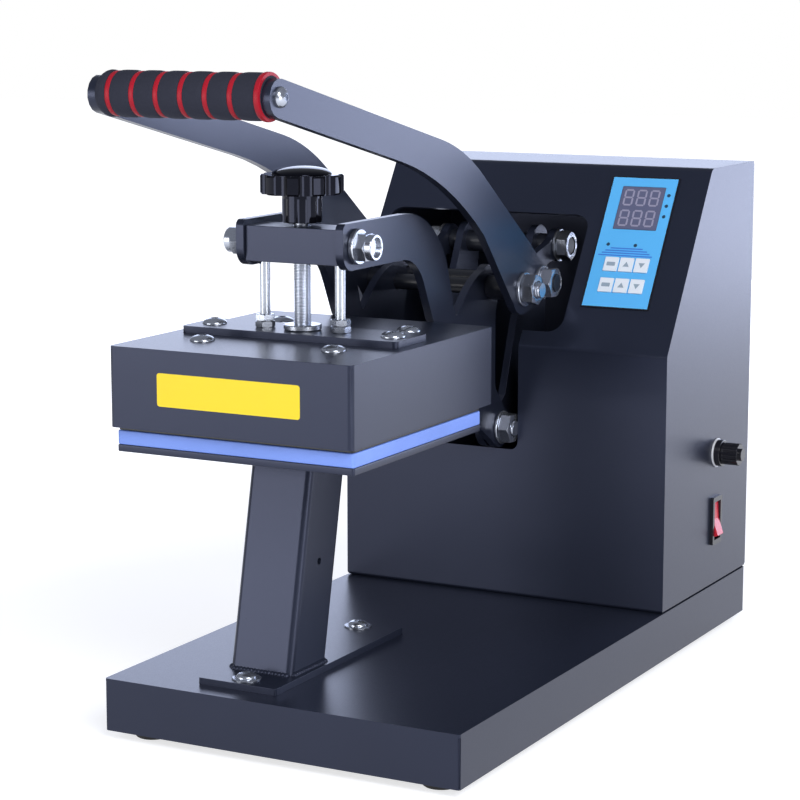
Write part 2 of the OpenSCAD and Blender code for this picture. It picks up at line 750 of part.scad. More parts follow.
// Foam grip, tapered at its left end, with grooves for the rings
module foam_grip() {
    taper = 4;
    color(black) at_mech() difference() {
        union() {
            x_bar(taper - arm_left_x, arm_x - 0.1, grip_d, grip_pos);
            translate([-arm_left_x, grip_pos[0], grip_pos[1]]) rotate([0, 90, 0])
                cylinder(d1 = grip_d - 4, d2 = grip_d, h = taper);
        }
        x_bar(-arm_left_x - 1, arm_x + 1, 8 + running, grip_pos);
        for (i = [0:ring_count - 1]) ring_at(i) x_ring(-1.6, 1.6, grip_d + 4, grip_d - 3, [0, 0]);
    }
}

module ring_at(i) {
    at = i == ring_count - 1 ? ring_last : ring_first + ring_pitch * i;
    translate([at, grip_pos[0], grip_pos[1]]) children();
}

// Coloured rings set in grooves of the grip
module grip_rings() {
    color([0.78, 0.08, 0.16]) at_mech() for (i = [0:ring_count - 1])
        ring_at(i) x_ring(-1.55, 1.55, grip_d + 0.8, grip_d - 2.9, [0, 0]);
}

// Domed cap over the rod's left end
module grip_cap() {
    rise = 3.9;
    base_r = 8.6;
    ball_r = (base_r * base_r + rise * rise) / (2 * rise);
    color(black) side(-1) translate([arm_left_x + plate_t, grip_pos[0], grip_pos[1]]) difference() {
        translate([rise - ball_r, 0, 0]) sphere(r = ball_r);
        translate([-2 * ball_r, 0, 0]) rotate([0, 90, 0]) cylinder(r = 2 * ball_r, h = 2 * ball_r);
        translate([-1, 0, 0]) rotate([0, 90, 0]) cylinder(d = 8 + running, h = 3.1);
    }
}

// Link between the handle's heel and the rear shaft, waisted between two round ends
module link() {
    along = link_pivot - crank_pivot;
    length = norm(along);
    turned = atan2(along[1], along[0]);
    difference() {
        union() {
            yz_plate(link_x, plate_t) translate(crank_pivot) rotate(turned)
                polygon([[0, -9], [14, -6.5], [length - 14, -6.5], [length, -9], [length, 9],
                    [length - 14, 6.5], [14, 6.5], [0, 9]]);
            for (p = [crank_pivot, link_pivot]) x_bar(link_x, link_x + plate_t, 21, p);
        }
        for (p = [crank_pivot, link_pivot])
            x_bar(link_x - 1, link_x + plate_t + 1, shaft_d + running, p);
    }
}

module link_left() {
    color(charcoal) side(-1) link();
}

module link_right() {
    color(charcoal) side(1) link();
}

// Shaft that ties the two links' front ends
module crank_shaft() {
    reach = link_x + plate_t;
    color(zinc) at_mech() x_bar(-reach, reach, shaft_d, crank_pivot);
}

// Folded casing of the head, open underneath
module heater_casing() {
    wall = 1.5;
    depth = case_y[1] - case_y[0];
    height = case_z[1] - case_z[0];
    middle = (case_y[0] + case_y[1]) / 2;
    color(charcoal) at_mech() difference() {
        translate([0, middle, case_z[0]]) linear_extrude(height)
            polygon(box_outline([2 * case_half, depth], 3));
        translate([0, middle, case_z[0] - 1]) linear_extrude(height + 1 - wall)
            polygon(box_outline([2 * case_half - 2 * wall, depth - 2 * wall], 1.5));
        for (p = concat(casing_screws_at, plate_screws_at)) translate([p[0], p[1], case_z[1] - 5])
            cylinder(d = 5.4, h = 10);
        translate([0, screw_y, case_z[1] - 5]) cylinder(d = 24, h = 10);
        for (s = [-1, 1]) translate([s * rod_x, rod_y, case_z[1] - 5]) cylinder(d = 12, h = 10);
        translate([gland_at[0], case_y[1] - 5, gland_at[1]]) rotate([-90, 0, 0]) cylinder(d = 12.4, h = 10);
    }
}

// Aluminium plate with the heating element cast in
module heating_plate() {
    side = platen - 1;
    color([0.5, 0.5, 0.53]) at_mech() difference() {
        translate([0, platen_y, heat_z]) linear_extrude(heat_t) polygon(box_outline([side, side], 2));
        for (p = casing_screws_at) translate([p[0], p[1], heat_z + 4]) cylinder(d = 5 + thread_play, h = 20);
    }
}

// Mat that keeps the plate's heat off the casing
module insulation() {
    color([0.85, 0.83, 0.76]) at_mech() difference() {
        translate([0, platen_y, heat_z + heat_t + 0.1]) linear_extrude(16)
            polygon(box_outline([platen - 4, platen - 4], 3));
        for (p = casing_screws_at) translate([p[0], p[1], heat_z]) cylinder(d = 11.4, h = 60);
    }
}

// Sleeves between the plate and the casing's top
module plate_spacers() {
    low = heat_z + heat_t;
    color(zinc) at_mech() for (p = casing_screws_at) translate([p[0], p[1], low])
        z_ring(11, 5.4, case_z[1] - 1.5 - low);
}

// Domed screws: four into the heating plate and two that hold the top plate
module casing_screws() {
    color(zinc) at_mech() {
        for (p = casing_screws_at) translate([p[0], p[1], case_z[1]])
            dome_screw(5, 14, 3.6, case_z[1] - heat_z - 5);
        for (p = plate_screws_at) translate([p[0], p[1], top_z]) dome_screw(5, 14, 3.6, top_t + 8);
        for (p = plate_screws_at) translate([p[0], p[1], case_z[1] - 5.6]) z_nut(8, 5 + thread_play, 4);
    }
}

// Strap over the casing that takes the screw and the guide rods
module top_plate() {
    size = [139, 37];
    color(charcoal) at_mech() difference() {
        translate([0, platen_y + 1, case_z[1]]) linear_extrude(top_t) polygon(box_outline(size, 3));
        for (p = plate_screws_at) translate([p[0], p[1], case_z[1] - 1]) cylinder(d = 5.4, h = 10);
        translate([0, screw_y, case_z[1] - 1]) cylinder(d = screw_d + running, h = 10);
        for (s = [-1, 1]) translate([s * rod_x, rod_y, case_z[1] - 1])
            cylinder(d = rod_d + thread_play, h = 10);
    }
}

module guide_rods() {
    foot = case_z[1] - 5;
    color(zinc) at_mech() for (s = [-1, 1])
        translate([s * rod_x, rod_y, foot]) cylinder(d = rod_d, h = rod_top - foot);
}

// Two nuts over the top plate and one under it on each rod
module guide_nuts() {
    color(zinc) at_mech() for (s = [-1, 1], z = [top_z, top_z + 3.8, case_z[1] - 3.7])
        translate([s * rod_x, rod_y, z]) z_nut(10, rod_d + thread_play, 3.7);
}

// Strain relief for the head's lead
module head_gland() {
    color(black) at_mech() translate([gland_at[0], case_y[1], gland_at[1]]) rotate([-90, 0, 0]) difference() {
        union() {
            translate([0, 0, -5]) cylinder(d = 12.2, h = 6);
            cylinder(d = 17 / cos(30), h = 3, $fn = 6);
            translate([0, 0, 2.5]) cylinder(d1 = 16, d2 = 12, h = 9);
        }
        translate([0, 0, -6]) cylinder(d = 7, h = 30);
    }
}

module pressure_screw() {
    color(zinc) at_mech() translate([0, screw_y, screw_foot])
        cylinder(d = screw_d, h = screw_top - screw_foot);
}

// Thrust collar over the top plate and the collar that keeps the screw from lifting out
module screw_collars() {
    color(zinc) at_mech() translate([0, screw_y, 0]) {
        translate([0, 0, top_z + 0.2]) z_ring(21.5, screw_d + thread_play, 3);
        translate([0, 0, case_z[1] - 4.2]) z_ring(18, screw_d + thread_play, 4);
    }
}

// Fluted knob with a fluted neck and a domed top
module knob() {
    neck_d = 22.4;
    dome_h = 4.4;
    dome_base = 17;
    dome_r = (dome_base * dome_base + dome_h * dome_h) / (2 * dome_h);
    color(black) at_mech() translate([0, screw_y, 0]) difference() {
        union() {
            translate([0, 0, neck_z]) cylinder(d = neck_d, h = knob_z - neck_z);
            translate([0, 0, knob_z]) cylinder(d = knob_d, h = knob_top - knob_z);
            intersection() {
                translate([0, 0, knob_top + dome_h - dome_r]) sphere(r = dome_r);
                translate([0, 0, knob_top - 1]) cylinder(d = knob_d - 2, h = 20);
            }
        }
        translate([0, 0, neck_z - 1]) cylinder(d = screw_d + thread_play, h = screw_top + 0.1 - neck_z + 1);
        for (i = [0:knob_flutes - 1]) rotate(360 * (i + 0.5) / knob_flutes)
            translate([knob_d / 2 + 2.2, 0, knob_z - 1]) cylinder(r = 5, h = 30);
        for (i = [0:5]) rotate(60 * i) translate([neck_d / 2 + 4, 0, neck_z - 1]) cylinder(r = 5.4, h = 14.5);
    }
}

base_tray();
rubber_feet();
post_foot_plate();
post_tube();
tray_bolts();
tray_nuts();
lower_platen();
silicone_pad();
housing_shell();
rear_cover();
case_screws();
upright_left();
upright_right();
lower_shaft();
rear_shaft();
shaft_nuts();
controller_case();
panel_face();
display_window();
key(0);  // key_1
key(1);  // key_2
key(2);  // key_3
key(3);  // key_4
key(4);  // key_5
key(5);  // key_6
switch_bezel();
rocker();
fuse_holder();
fuse();
fuse_cap();
power_inlet();
yoke_left();
yoke_right();
beam();
beam_bolts();
arm_left();
arm_right();
handle_shaft();
handle_bushes();
crank_pins();
handle_nuts();
grip_rod();
foam_grip();
grip_rings();
grip_cap();
link_left();
link_right();
crank_shaft();
heater_casing();
heating_plate();
insulation();
plate_spacers();
casing_screws();
top_plate();
guide_rods();
guide_nuts();
head_gland();
pressure_screw();
screw_collars();
knob();
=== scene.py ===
# %% [markdown]
# # Cap heat press
# This lesson dresses a small lever press for caps: a heated head on a toggle linkage, a padded
# platen on a slanted post, and a folded steel housing with its controller. The construction comes
# in as a fixed frame, and every visible surface gets its shape and finish here.
# All lengths are in metres, so millimetres are written with the factor MM.

# %% Load the frame
import json
import math

import bmesh
import bpy
from mathutils import Matrix, Vector


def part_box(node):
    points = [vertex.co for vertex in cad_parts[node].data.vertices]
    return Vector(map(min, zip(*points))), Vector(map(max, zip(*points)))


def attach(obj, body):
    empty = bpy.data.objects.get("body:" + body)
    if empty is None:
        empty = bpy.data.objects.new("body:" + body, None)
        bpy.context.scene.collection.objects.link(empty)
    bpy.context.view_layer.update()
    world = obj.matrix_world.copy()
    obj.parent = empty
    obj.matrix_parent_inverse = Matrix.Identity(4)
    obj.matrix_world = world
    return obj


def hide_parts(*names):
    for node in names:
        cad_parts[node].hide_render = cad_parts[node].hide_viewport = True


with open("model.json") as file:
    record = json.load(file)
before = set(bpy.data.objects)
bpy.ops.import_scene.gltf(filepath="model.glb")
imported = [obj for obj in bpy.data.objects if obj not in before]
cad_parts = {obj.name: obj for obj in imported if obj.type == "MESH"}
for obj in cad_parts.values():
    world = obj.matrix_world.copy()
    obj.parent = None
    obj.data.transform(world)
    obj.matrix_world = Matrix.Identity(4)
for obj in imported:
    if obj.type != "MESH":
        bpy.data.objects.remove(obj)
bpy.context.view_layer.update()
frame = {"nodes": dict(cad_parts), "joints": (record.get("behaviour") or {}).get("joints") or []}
MM = 0.001
FINE_MERGE = 0.002 * MM
joints = {joint["name"]: joint for joint in frame["joints"]}
print("CAD nodes:", len(frame["nodes"]))

# %% [markdown]
# ## Camera
# The camera stands in front of the press, a little to its right and above it. It was matched to
# the straight edges of the base and the housing, whose real sizes are known, so a long lens and
# this distance give the photograph's own perspective.

# %% Camera
CAMERA_PLACE = Vector((652.6, -1286.3, 416.0)) * MM
CAMERA_AZIMUTH = 28.18
CAMERA_ELEVATION = 9.69
CAMERA_LENS = 109.25

bpy.ops.object.camera_add(
    location=CAMERA_PLACE,
    rotation=(math.radians(90 - CAMERA_ELEVATION), 0, math.radians(CAMERA_AZIMUTH)),
)
camera = bpy.context.object
camera.data.lens = CAMERA_LENS
camera.data.sensor_width = 36
camera.data.clip_end = 20
bpy.context.scene.camera = camera
print("camera:", tuple(round(v, 3) for v in camera.location))

# %% [markdown]
# ## Small helpers
# Most steps need the same few moves: deselect everything, pick a piece, turn its faces' normals
# outwards, and put its place into its mesh. Each is a short function, so that the steps below
# read as modelling and not as bookkeeping.

# %% Selecting and applying
def deselect():
    """Leaves edit mode and selects nothing."""
    if bpy.context.object and bpy.context.object.mode != "OBJECT":
        bpy.ops.object.mode_set(mode="OBJECT")
    bpy.ops.object.select_all(action="DESELECT")


def pick(*pieces):
    """Selects these pieces alone; the last one is active."""
    deselect()
    for piece in pieces:
        piece.select_set(True)
        bpy.context.view_layer.objects.active = piece


def edit_all(piece):
    """Enters edit mode on the piece with everything selected."""
    pick(piece)
    bpy.ops.object.mode_set(mode="EDIT")
    bpy.ops.mesh.select_all(action="SELECT")


def apply_place(piece):
    """Puts the piece's place, turn and size into its mesh."""
    pick(piece)
    bpy.ops.object.transform_apply(location=True, rotation=True, scale=True)


def apply_modifiers(piece):
    """Applies every modifier in the order of the stack."""
    pick(piece)
    for modifier in list(piece.modifiers):
        bpy.ops.object.modifier_apply(modifier=modifier.name)


def tidy(piece, merge=0.01 * MM):
    """Merges doubles and turns the normals outwards."""
    edit_all(piece)
    bpy.ops.mesh.remove_doubles(threshold=merge)
    bpy.ops.mesh.normals_make_consistent(inside=False)
    bpy.ops.object.mode_set(mode="OBJECT")


def smooth(piece, angle=30):
    """Smooth shading that keeps sharper edges, and keeps large flat faces even beside a bevel."""
    pick(piece)
    bpy.ops.object.shade_smooth_by_angle(angle=math.radians(angle))
    even = piece.modifiers.new("even", "WEIGHTED_NORMAL")
    even.keep_sharp = True
    apply_modifiers(piece)


def renamed(piece, name):
    """Gives the piece and its mesh one name."""
    piece.name = name
    piece.data.name = name
    return piece


# %% [markdown]
# The frame's nodes hold plain triangles. A copy of one, with its doubles merged and its flat
# faces dissolved, can take a real bevel. That suits folded sheet and cut plate, whose form is
# already right and whose edges only want rounding, so nothing is drawn twice.

# %% Copies of frame nodes with rounded edges
def copy_of(node, name):
    """A free copy of a CAD node with clean faces."""
    mesh = frame["nodes"][node].data.copy()
    piece = bpy.data.objects.new(name, mesh)
    bpy.context.scene.collection.objects.link(piece)
    mesh.name = name
    mesh.materials.clear()
    edit_all(piece)
    bpy.ops.mesh.remove_doubles(threshold=FINE_MERGE)
    bpy.ops.mesh.dissolve_limited(angle_limit=math.radians(0.5))
    bpy.ops.object.mode_set(mode="OBJECT")
    return piece


def bevelled(piece, width, segments=2, angle=32):
    """Rounds the edges that are sharper than the angle."""
    bevel = piece.modifiers.new("edge", "BEVEL")
    bevel.width = width
    bevel.segments = segments
    bevel.limit_method = "ANGLE"
    bevel.angle_limit = math.radians(angle)
    apply_modifiers(piece)
    return piece


def islands(work):
    """The sets of vertices that hang together, each with the two corners of its box."""
    left = set(work.verts)
    found = []
    while left:
        island = {left.pop()}
        edge = list(island)
        while edge:
            near = {e.other_vert(v) for v in edge for e in v.link_edges} - island
            island |= near
            edge = list(near)
        left -= island
        low = Vector([min(v.co[i] for v in island) for i in range(3)])
        high = Vector([max(v.co[i] for v in island) for i in range(3)])
        found.append((island, low, high))
    return found


def solids(node):
    """Boxes (lowest corner, highest corner) of the separate solids in a CAD node."""
    work = bmesh.new()
    work.from_mesh(frame["nodes"][node].data)
    bmesh.ops.remove_doubles(work, verts=work.verts, dist=FINE_MERGE)
    boxes = [(low, high) for _, low, high in islands(work)]
    work.free()
    return sorted(boxes, key=lambda b: tuple(round(c, 5) for c in b[0]))


def only(piece, keep):
    """Deletes the separate solids of a piece whose boxes don't pass the test."""
    work = bmesh.new()
    work.from_mesh(piece.data)
    for island, low, high in islands(work):
        if not keep(low, high):
            bmesh.ops.delete(work, geom=list(island), context="VERTS")
    work.to_mesh(piece.data)
    work.free()


def on_axis(low, high, z=None):
    """Point on the upright middle line of a box, at its bottom or at a height."""
    return Vector(((low.x + high.x) / 2, (low.y + high.y) / 2, low.z if z is None else z))


def middle(bounds):
    """Centre of a box given by two corners."""
    return (bounds[0] + bounds[1]) / 2


# %% [markdown]
# Round parts are turned: one vertex is extruded along half of the outline, and the outline is
# spun round its axis. It is how a lathe makes the real part, and one list of radius and height
# describes the whole piece.

# %% Turned pieces
TO_AXIS = {
    "X": Matrix.Rotation(math.radians(90), 4, "Y"),
    "Y": Matrix.Rotation(math.radians(-90), 4, "X"),
    "Z": Matrix.Identity(4),
}


def turned(name, outline, steps=48):
    """Spins an outline of (radius, height) round Z; both its ends lie on the axis."""
    deselect()
    bpy.ops.mesh.primitive_plane_add(size=0.001)
    piece = renamed(bpy.context.object, name)
    bpy.ops.object.mode_set(mode="EDIT")
    bpy.ops.mesh.select_all(action="SELECT")
    bpy.ops.mesh.merge(type="CENTER")
    bpy.ops.transform.translate(value=(outline[0][0], 0, outline[0][1]))
    for (r0, z0), (r1, z1) in zip(outline, outline[1:]):
        bpy.ops.mesh.extrude_region_move(TRANSFORM_OT_translate={"value": (r1 - r0, 0, z1 - z0)})
    bpy.ops.mesh.select_all(action="SELECT")
    bpy.ops.mesh.spin(steps=steps, angle=2 * math.pi, center=(0, 0, 0), axis=(0, 0, 1))
    bpy.ops.object.mode_set(mode="OBJECT")
    tidy(piece, merge=FINE_MERGE)
    return piece


def placed(piece, place, axis="Z", turn=0.0):
    """Turns a piece made along Z to another axis and moves it; a minus sign turns it round first."""
    flip = Matrix.Rotation(math.pi, 4, "X") if axis.startswith("-") else Matrix.Identity(4)
    spin = Matrix.Rotation(math.radians(turn), 4, "Z")
    piece.matrix_world = Matrix.Translation(place) @ TO_AXIS[axis[-1]] @ flip @ spin
    apply_place(piece)
    return piece


def copied(master, name="copy"):
    """Another piece of the same shape with its own mesh."""
    piece = bpy.data.objects.new(name, master.data.copy())
    bpy.context.scene.collection.objects.link(piece)
    return piece


def joined(name, parts):
    """Makes one object of several."""
    pick(*parts)
    if len(parts) > 1:
        bpy.ops.object.join()
    return renamed(bpy.context.object, name)


def cylinder(vertices, radius, depth, place):
    """An upright cylinder or prism about a point."""
    deselect()
    bpy.ops.mesh.primitive_cylinder_add(vertices=vertices, radius=radius, depth=depth, location=place)
    apply_place(bpy.context.object)
    return bpy.context.object


def raised(piece, height):
    """Moves a piece made at the origin along Z."""
    piece.location = (0, 0, height)
    apply_place(piece)
    return piece


def cut(piece, tool, operation="DIFFERENCE"):
    """Cuts the tool from the piece, or keeps what the two share, and deletes the tool."""
    boolean = piece.modifiers.new("cut", "BOOLEAN")
    boolean.operation = operation
    boolean.object = tool
    boolean.solver = "EXACT"
    apply_modifiers(piece)
    removed(tool)
    return piece


def removed(*pieces):
    """Deletes pieces that have done their work."""
    for piece in pieces:
        bpy.data.objects.remove(piece)


# %% [markdown]
# ## Shared surface effects
# Powder coat, zinc and moulded plastic all show the same two things at different scales: a fine
# uneven surface, and a slight change of tone over larger areas. Each effect is a node group with
# named inputs, so a material only states how strong and how large it is.

# %% Node groups
def new_group(name, inputs, outputs):
    """An empty shader node group with float inputs (name, value) and outputs (name, type)."""
    group = bpy.data.node_groups.new(name, "ShaderNodeTree")
    for label, value in inputs:
        socket = group.interface.new_socket(label, in_out="INPUT", socket_type="NodeSocketFloat")
        socket.default_value = value
    for label, kind in outputs:
        group.interface.new_socket(label, in_out="OUTPUT", socket_type=kind)
    ends = [group.nodes.new("NodeGroupInput"), group.nodes.new("NodeGroupOutput")]
    return group, ends[0], ends[1]


def preset(node, values):
    """Sets a node's inputs by their names."""
    for label, value in values.items():
        node.inputs[label].default_value = value
    return node


def worked_out(tree, operation, first, second):
    """Result of a Math node; each of its two values is a number or another node's output."""
    step = tree.nodes.new("ShaderNodeMath")
    step.operation = operation
    for socket, value in zip(step.inputs, (first, second)):
        if isinstance(value, (int, float)):
            socket.default_value = value
        else:
            tree.links.new(value, socket)
    return step.outputs[0]


def grain_group():
    """Fine surface grain: a height for a bump, and a mask that varies the roughness."""
    group, inside, outside = new_group(
        "surface_grain",
        [("Scale", 900.0), ("Detail", 3.0), ("Spread", 0.3)],
        [("Height", "NodeSocketFloat"), ("Mask", "NodeSocketFloat")],
    )
    nodes, links = group.nodes, group.links
    place = nodes.new("ShaderNodeTexCoord")
    fine = nodes.new("ShaderNodeTexNoise")
    links.new(place.outputs["Object"], fine.inputs["Vector"])
    links.new(inside.outputs["Scale"], fine.inputs["Scale"])
    links.new(inside.outputs["Detail"], fine.inputs["Detail"])
    centred = worked_out(group, "SUBTRACT", fine.outputs["Fac"], 0.5)
    links.new(fine.outputs["Fac"], outside.inputs["Height"])
    links.new(worked_out(group, "MULTIPLY", centred, inside.outputs["Spread"]), outside.inputs["Mask"])
    return group


def clouds_group():
    """Broad, soft variation between two factors, as handled and aged surfaces have."""
    group, inside, outside = new_group(
        "broad_clouds",
        [("Scale", 18.0), ("Low", 0.9), ("High", 1.1)],
        [("Value", "NodeSocketFloat")],
    )
    nodes, links = group.nodes, group.links
    place = nodes.new("ShaderNodeTexCoord")
    broad = nodes.new("ShaderNodeTexNoise")
    broad.inputs["Detail"].default_value = 2.0
    links.new(place.outputs["Object"], broad.inputs["Vector"])
    links.new(inside.outputs["Scale"], broad.inputs["Scale"])
    spread = nodes.new("ShaderNodeMapRange")
    preset(spread, {"From Min": 0.3, "From Max": 0.7})
    links.new(broad.outputs["Fac"], spread.inputs["Value"])
    links.new(inside.outputs["Low"], spread.inputs["To Min"])
    links.new(inside.outputs["High"], spread.inputs["To Max"])
    links.new(spread.outputs["Result"], outside.inputs["Value"])
    return group


GRAIN = grain_group()
CLOUDS = clouds_group()
print("node groups:", [group.name for group in bpy.data.node_groups])


# %% [markdown]
# ## Finishes
# Every finish starts from one recipe: a colour that drifts a little, a roughness that varies with
# the grain, and a bump of the right size. What makes paint, zinc, foam or silicone is in the
# numbers, which are set side by side below.

# %% Material recipe
def finish(name, color, roughness, grain, bump, drift=0.06, spread=0.15, metallic=0.0,
           sheen=(1, 1, 1), gloss=0.5):
    """A procedural finish: grain is the bump's scale per metre, and bump its depth in metres.

    The sheen is the tint of what the surface reflects, and gloss is how much it reflects.
    """
    material = bpy.data.materials.new(name)
    material.use_nodes = True
    nodes, links = material.node_tree.nodes, material.node_tree.links
    shader = nodes["Principled BSDF"]
    preset(shader, {"Metallic": metallic, "Specular Tint": (*sheen, 1), "Specular IOR Level": gloss})
    clouds = nodes.new("ShaderNodeGroup")
    clouds.node_tree = CLOUDS
    preset(clouds, {"Low": 1 - drift, "High": 1 + drift})
    tone = nodes.new("ShaderNodeVectorMath")
    tone.operation = "SCALE"
    tone.inputs[0].default_value = color
    links.new(clouds.outputs["Value"], tone.inputs["Scale"])
    links.new(tone.outputs[0], shader.inputs["Base Color"])
    grains = nodes.new("ShaderNodeGroup")
    grains.node_tree = GRAIN
    preset(grains, {"Scale": grain, "Spread": spread})
    rough = worked_out(material.node_tree, "ADD", grains.outputs["Mask"], roughness)
    links.new(rough, shader.inputs["Roughness"])
    relief = nodes.new("ShaderNodeBump")
    preset(relief, {"Strength": 1.0, "Distance": bump})
    links.new(grains.outputs["Height"], relief.inputs["Height"])
    links.new(relief.outputs["Normal"], shader.inputs["Normal"])
    return material


# %% The press's finishes
BLUISH = (0.62, 0.68, 1.0)
CHARCOAL = (0.013, 0.016, 0.028)
POWDER_COAT = finish("charcoal_powder_coat", CHARCOAL, 0.31, 1500, 0.00003, sheen=BLUISH)
BLACK_STEEL = finish("blackened_steel", (0.014, 0.016, 0.024), 0.34, 1500, 0.00002)
ZINC = finish("zinc_plate", (0.46, 0.49, 0.56), 0.22, 700, 0.00001, spread=0.2, metallic=0.9)
BRIGHT_STEEL = finish("bright_steel", (0.42, 0.45, 0.51), 0.2, 500, 0.00001, metallic=1.0)
SILICONE = finish("blue_silicone", (0.20, 0.33, 0.86), 0.5, 700, 0.00012, drift=0.08)
FOAM = finish("black_foam", (0.022, 0.023, 0.032), 0.85, 1600, 0.0002, sheen=BLUISH)
RED_RUBBER = finish("red_rubber", (0.40, 0.008, 0.022), 0.45, 800, 0.00003, gloss=0.25)
RED_PLASTIC = finish("red_rocker_moulding", (0.60, 0.015, 0.035), 0.3, 800, 0.00001)
GLOSSY_BLACK = finish("glossy_black_moulding", (0.004, 0.004, 0.006), 0.07, 900, 0.000002,
                      spread=0.05, sheen=BLUISH, gloss=0.22)
BLACK_PLASTIC = finish("black_moulding", (0.012, 0.012, 0.017), 0.16, 900, 0.00001)
RUBBER = finish("black_rubber", (0.015, 0.015, 0.016), 0.7, 900, 0.00005)
# Near black: painted shade for the heating plate, which sits in the thin gap between the casing and the pad
PAINTED_SHADE_PLATE = finish("cast_plate_painted_shade", (0.016, 0.017, 0.022), 0.42, 900, 0.00004)
MAT = finish("heat_mat", (0.72, 0.68, 0.58), 0.95, 1100, 0.0003)
BLUE_FILM = finish("blue_panel_film", (0.12, 0.52, 1.0), 0.5, 1500, 0.00001, drift=0.03, gloss=0.15)
WHITE_FILM = finish("white_key_film", (0.86, 0.92, 1.0), 0.5, 1500, 0.00001, drift=0.02, gloss=0.15)
DARK_FILM = finish("dark_blue_print", (0.06, 0.22, 0.75), 0.5, 1500, 0.00001, drift=0.02, gloss=0.15)
GREY_PRINT = finish("grey_print", (0.33, 0.42, 0.52), 0.4, 1500, 0.00001, drift=0.02)
DISPLAY = finish("display_lens", (0.125, 0.135, 0.235), 0.3, 1500, 0.00001, drift=0.02)
SEGMENTS = finish("unlit_segments", (0.34, 0.33, 0.46), 0.4, 1500, 0.00001, drift=0.05)
LAMP_LENS = finish("dark_lamp", (0.02, 0.06, 0.12), 0.3, 1500, 0.00001, drift=0.02)
YELLOW_VINYL = finish("yellow_vinyl", (1.0, 0.74, 0.0), 0.4, 900, 0.00001, drift=0.02)
WHITE_PLASTIC = finish("white_plastic", (0.75, 0.76, 0.80), 0.4, 900, 0.00002)
WELD = finish("painted_weld", CHARCOAL, 0.4, 260, 0.0006, sheen=BLUISH)
print("finishes:", len(bpy.data.materials))

# %% [markdown]
# ## The press's own directions
# The linkage stands left of the middle, so its middle plane is read from the frame's first joint.
# The sloped panel has its own frame too: a key is pressed along the panel's normal, so the key's
# joint gives that direction, and the other two follow from it.

# %% Directions from the joints
MECH_X = joints["yoke_open"]["pos_m"][0]
PANEL_OUT = -Vector(joints["key_1_press"]["axis"]).normalized()
PANEL_UP = PANEL_OUT.cross(Vector((1, 0, 0))).normalized()


def on_panel(place):
    """Matrix that puts a piece made in XY flat on the sloped panel at a place."""
    turn = Matrix((Vector((1, 0, 0)), PANEL_UP, PANEL_OUT)).transposed().to_4x4()
    return Matrix.Translation(place) @ turn


print("mechanism at", MECH_X, "panel faces", tuple(round(v, 3) for v in PANEL_OUT))


# %% Finishing a piece
def dress(piece, body, material, nodes=(), angle=30):
    """Gives a piece its finish, its body and the CAD nodes that it stands for."""
    piece.data.materials.clear()
    piece.data.materials.append(material)
    smooth(piece, angle)
    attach(piece, body)
    if nodes:
        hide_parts(*nodes)


def remade(node, name, body, model, material=ZINC):
    """One piece in which each solid of a node is modelled anew from its number and its box."""
    parts = [model(i, low, high) for i, (low, high) in enumerate(solids(node))]
    dress(joined(name, parts), body, material, [node])
    print(name, "has", len(parts))


def from_node(node, name, edge, body, material, slot, steps=2, fold=32, angle=30, keep=None, stands=True):
    """A node's copy, or some of its solids, with edges rounded by so many millimetres."""
    piece = copy_of(node, name)
    if keep:
        only(piece, keep)
    bevelled(piece, edge * MM, steps, angle=fold)
    dress(piece, body, material, [node] if stands else (), angle=angle)


# %% [markdown]
# ## Folded and cut steel
# The tray, the housing, the head's casing and all the side plates are steel sheet and plate under
# one charcoal powder coat. Powder coat flows over an edge and leaves it soft, so each piece is a
# copy of its frame node with a small rounded edge: wide on a fold, narrow on a cut plate.

# %% Steel pieces
FOLDED = [
    ("base_tray", "frame", 1.3, 3),
    ("housing_shell", "frame", 1.3, 3),
    ("rear_cover", "frame", 0.5, 2),
    ("heater_casing", "press_head", 0.9, 3),
]
PLATES = [
    ("post_foot_plate", "frame", 0.8),
    ("lower_platen", "frame", 0.6),
    ("upright_left", "frame", 0.6),
    ("upright_right", "frame", 0.6),
    ("yoke_left", "clamp_yoke", 0.7),
    ("yoke_right", "clamp_yoke", 0.7),
    ("beam", "clamp_yoke", 1.2),
    ("arm_left", "lever", 0.8),
    ("arm_right", "lever", 0.8),
    ("link_left", "toggle_links", 0.7),
    ("link_right", "toggle_links", 0.7),
    ("top_plate", "press_head", 0.8),
]
BOTTOM_FOLD = 2.2 * MM


def round_bottom(sheet):
    """Rounds the housing's lower side edges, where the walls turn in over the tray."""
    low = min(corner[2] for corner in sheet.bound_box)
    left = min(corner[0] for corner in sheet.bound_box)
    right = max(corner[0] for corner in sheet.bound_box)
    work = bmesh.new()
    work.from_mesh(sheet.data)
    near = 0.1 * MM
    folds = [edge for edge in work.edges if edge.calc_length() > 40 * MM and all(
        abs(v.co.z - low) < near and min(v.co.x - left, right - v.co.x) < near for v in edge.verts)]
    bmesh.ops.bevel(work, geom=folds, offset=BOTTOM_FOLD, segments=4, profile=0.5, affect="EDGES")
    work.to_mesh(sheet.data)
    work.free()
    print("rounded lower folds:", len(folds))


def corner_slits(sheet, box, drop, length, wide, narrow):
    """Cuts the open seam that a folded corner keeps: wide near the top, narrow below."""
    cones = []
    for x, inward_x in ((box[0].x, 1), (box[1].x, -1)):
        for y, inward_y in ((box[0].y, 1), (box[1].y, -1)):
            deselect()
            bpy.ops.mesh.primitive_cone_add(
                vertices=16, radius1=narrow / 2, radius2=wide / 2, depth=length,
                location=(x + inward_x * wide * 0.4, y + inward_y * wide * 0.4,
                          box[1].z - drop - length / 2))
            apply_place(bpy.context.object)
            cones.append(bpy.context.object)
    cut(sheet, joined("slits", cones))


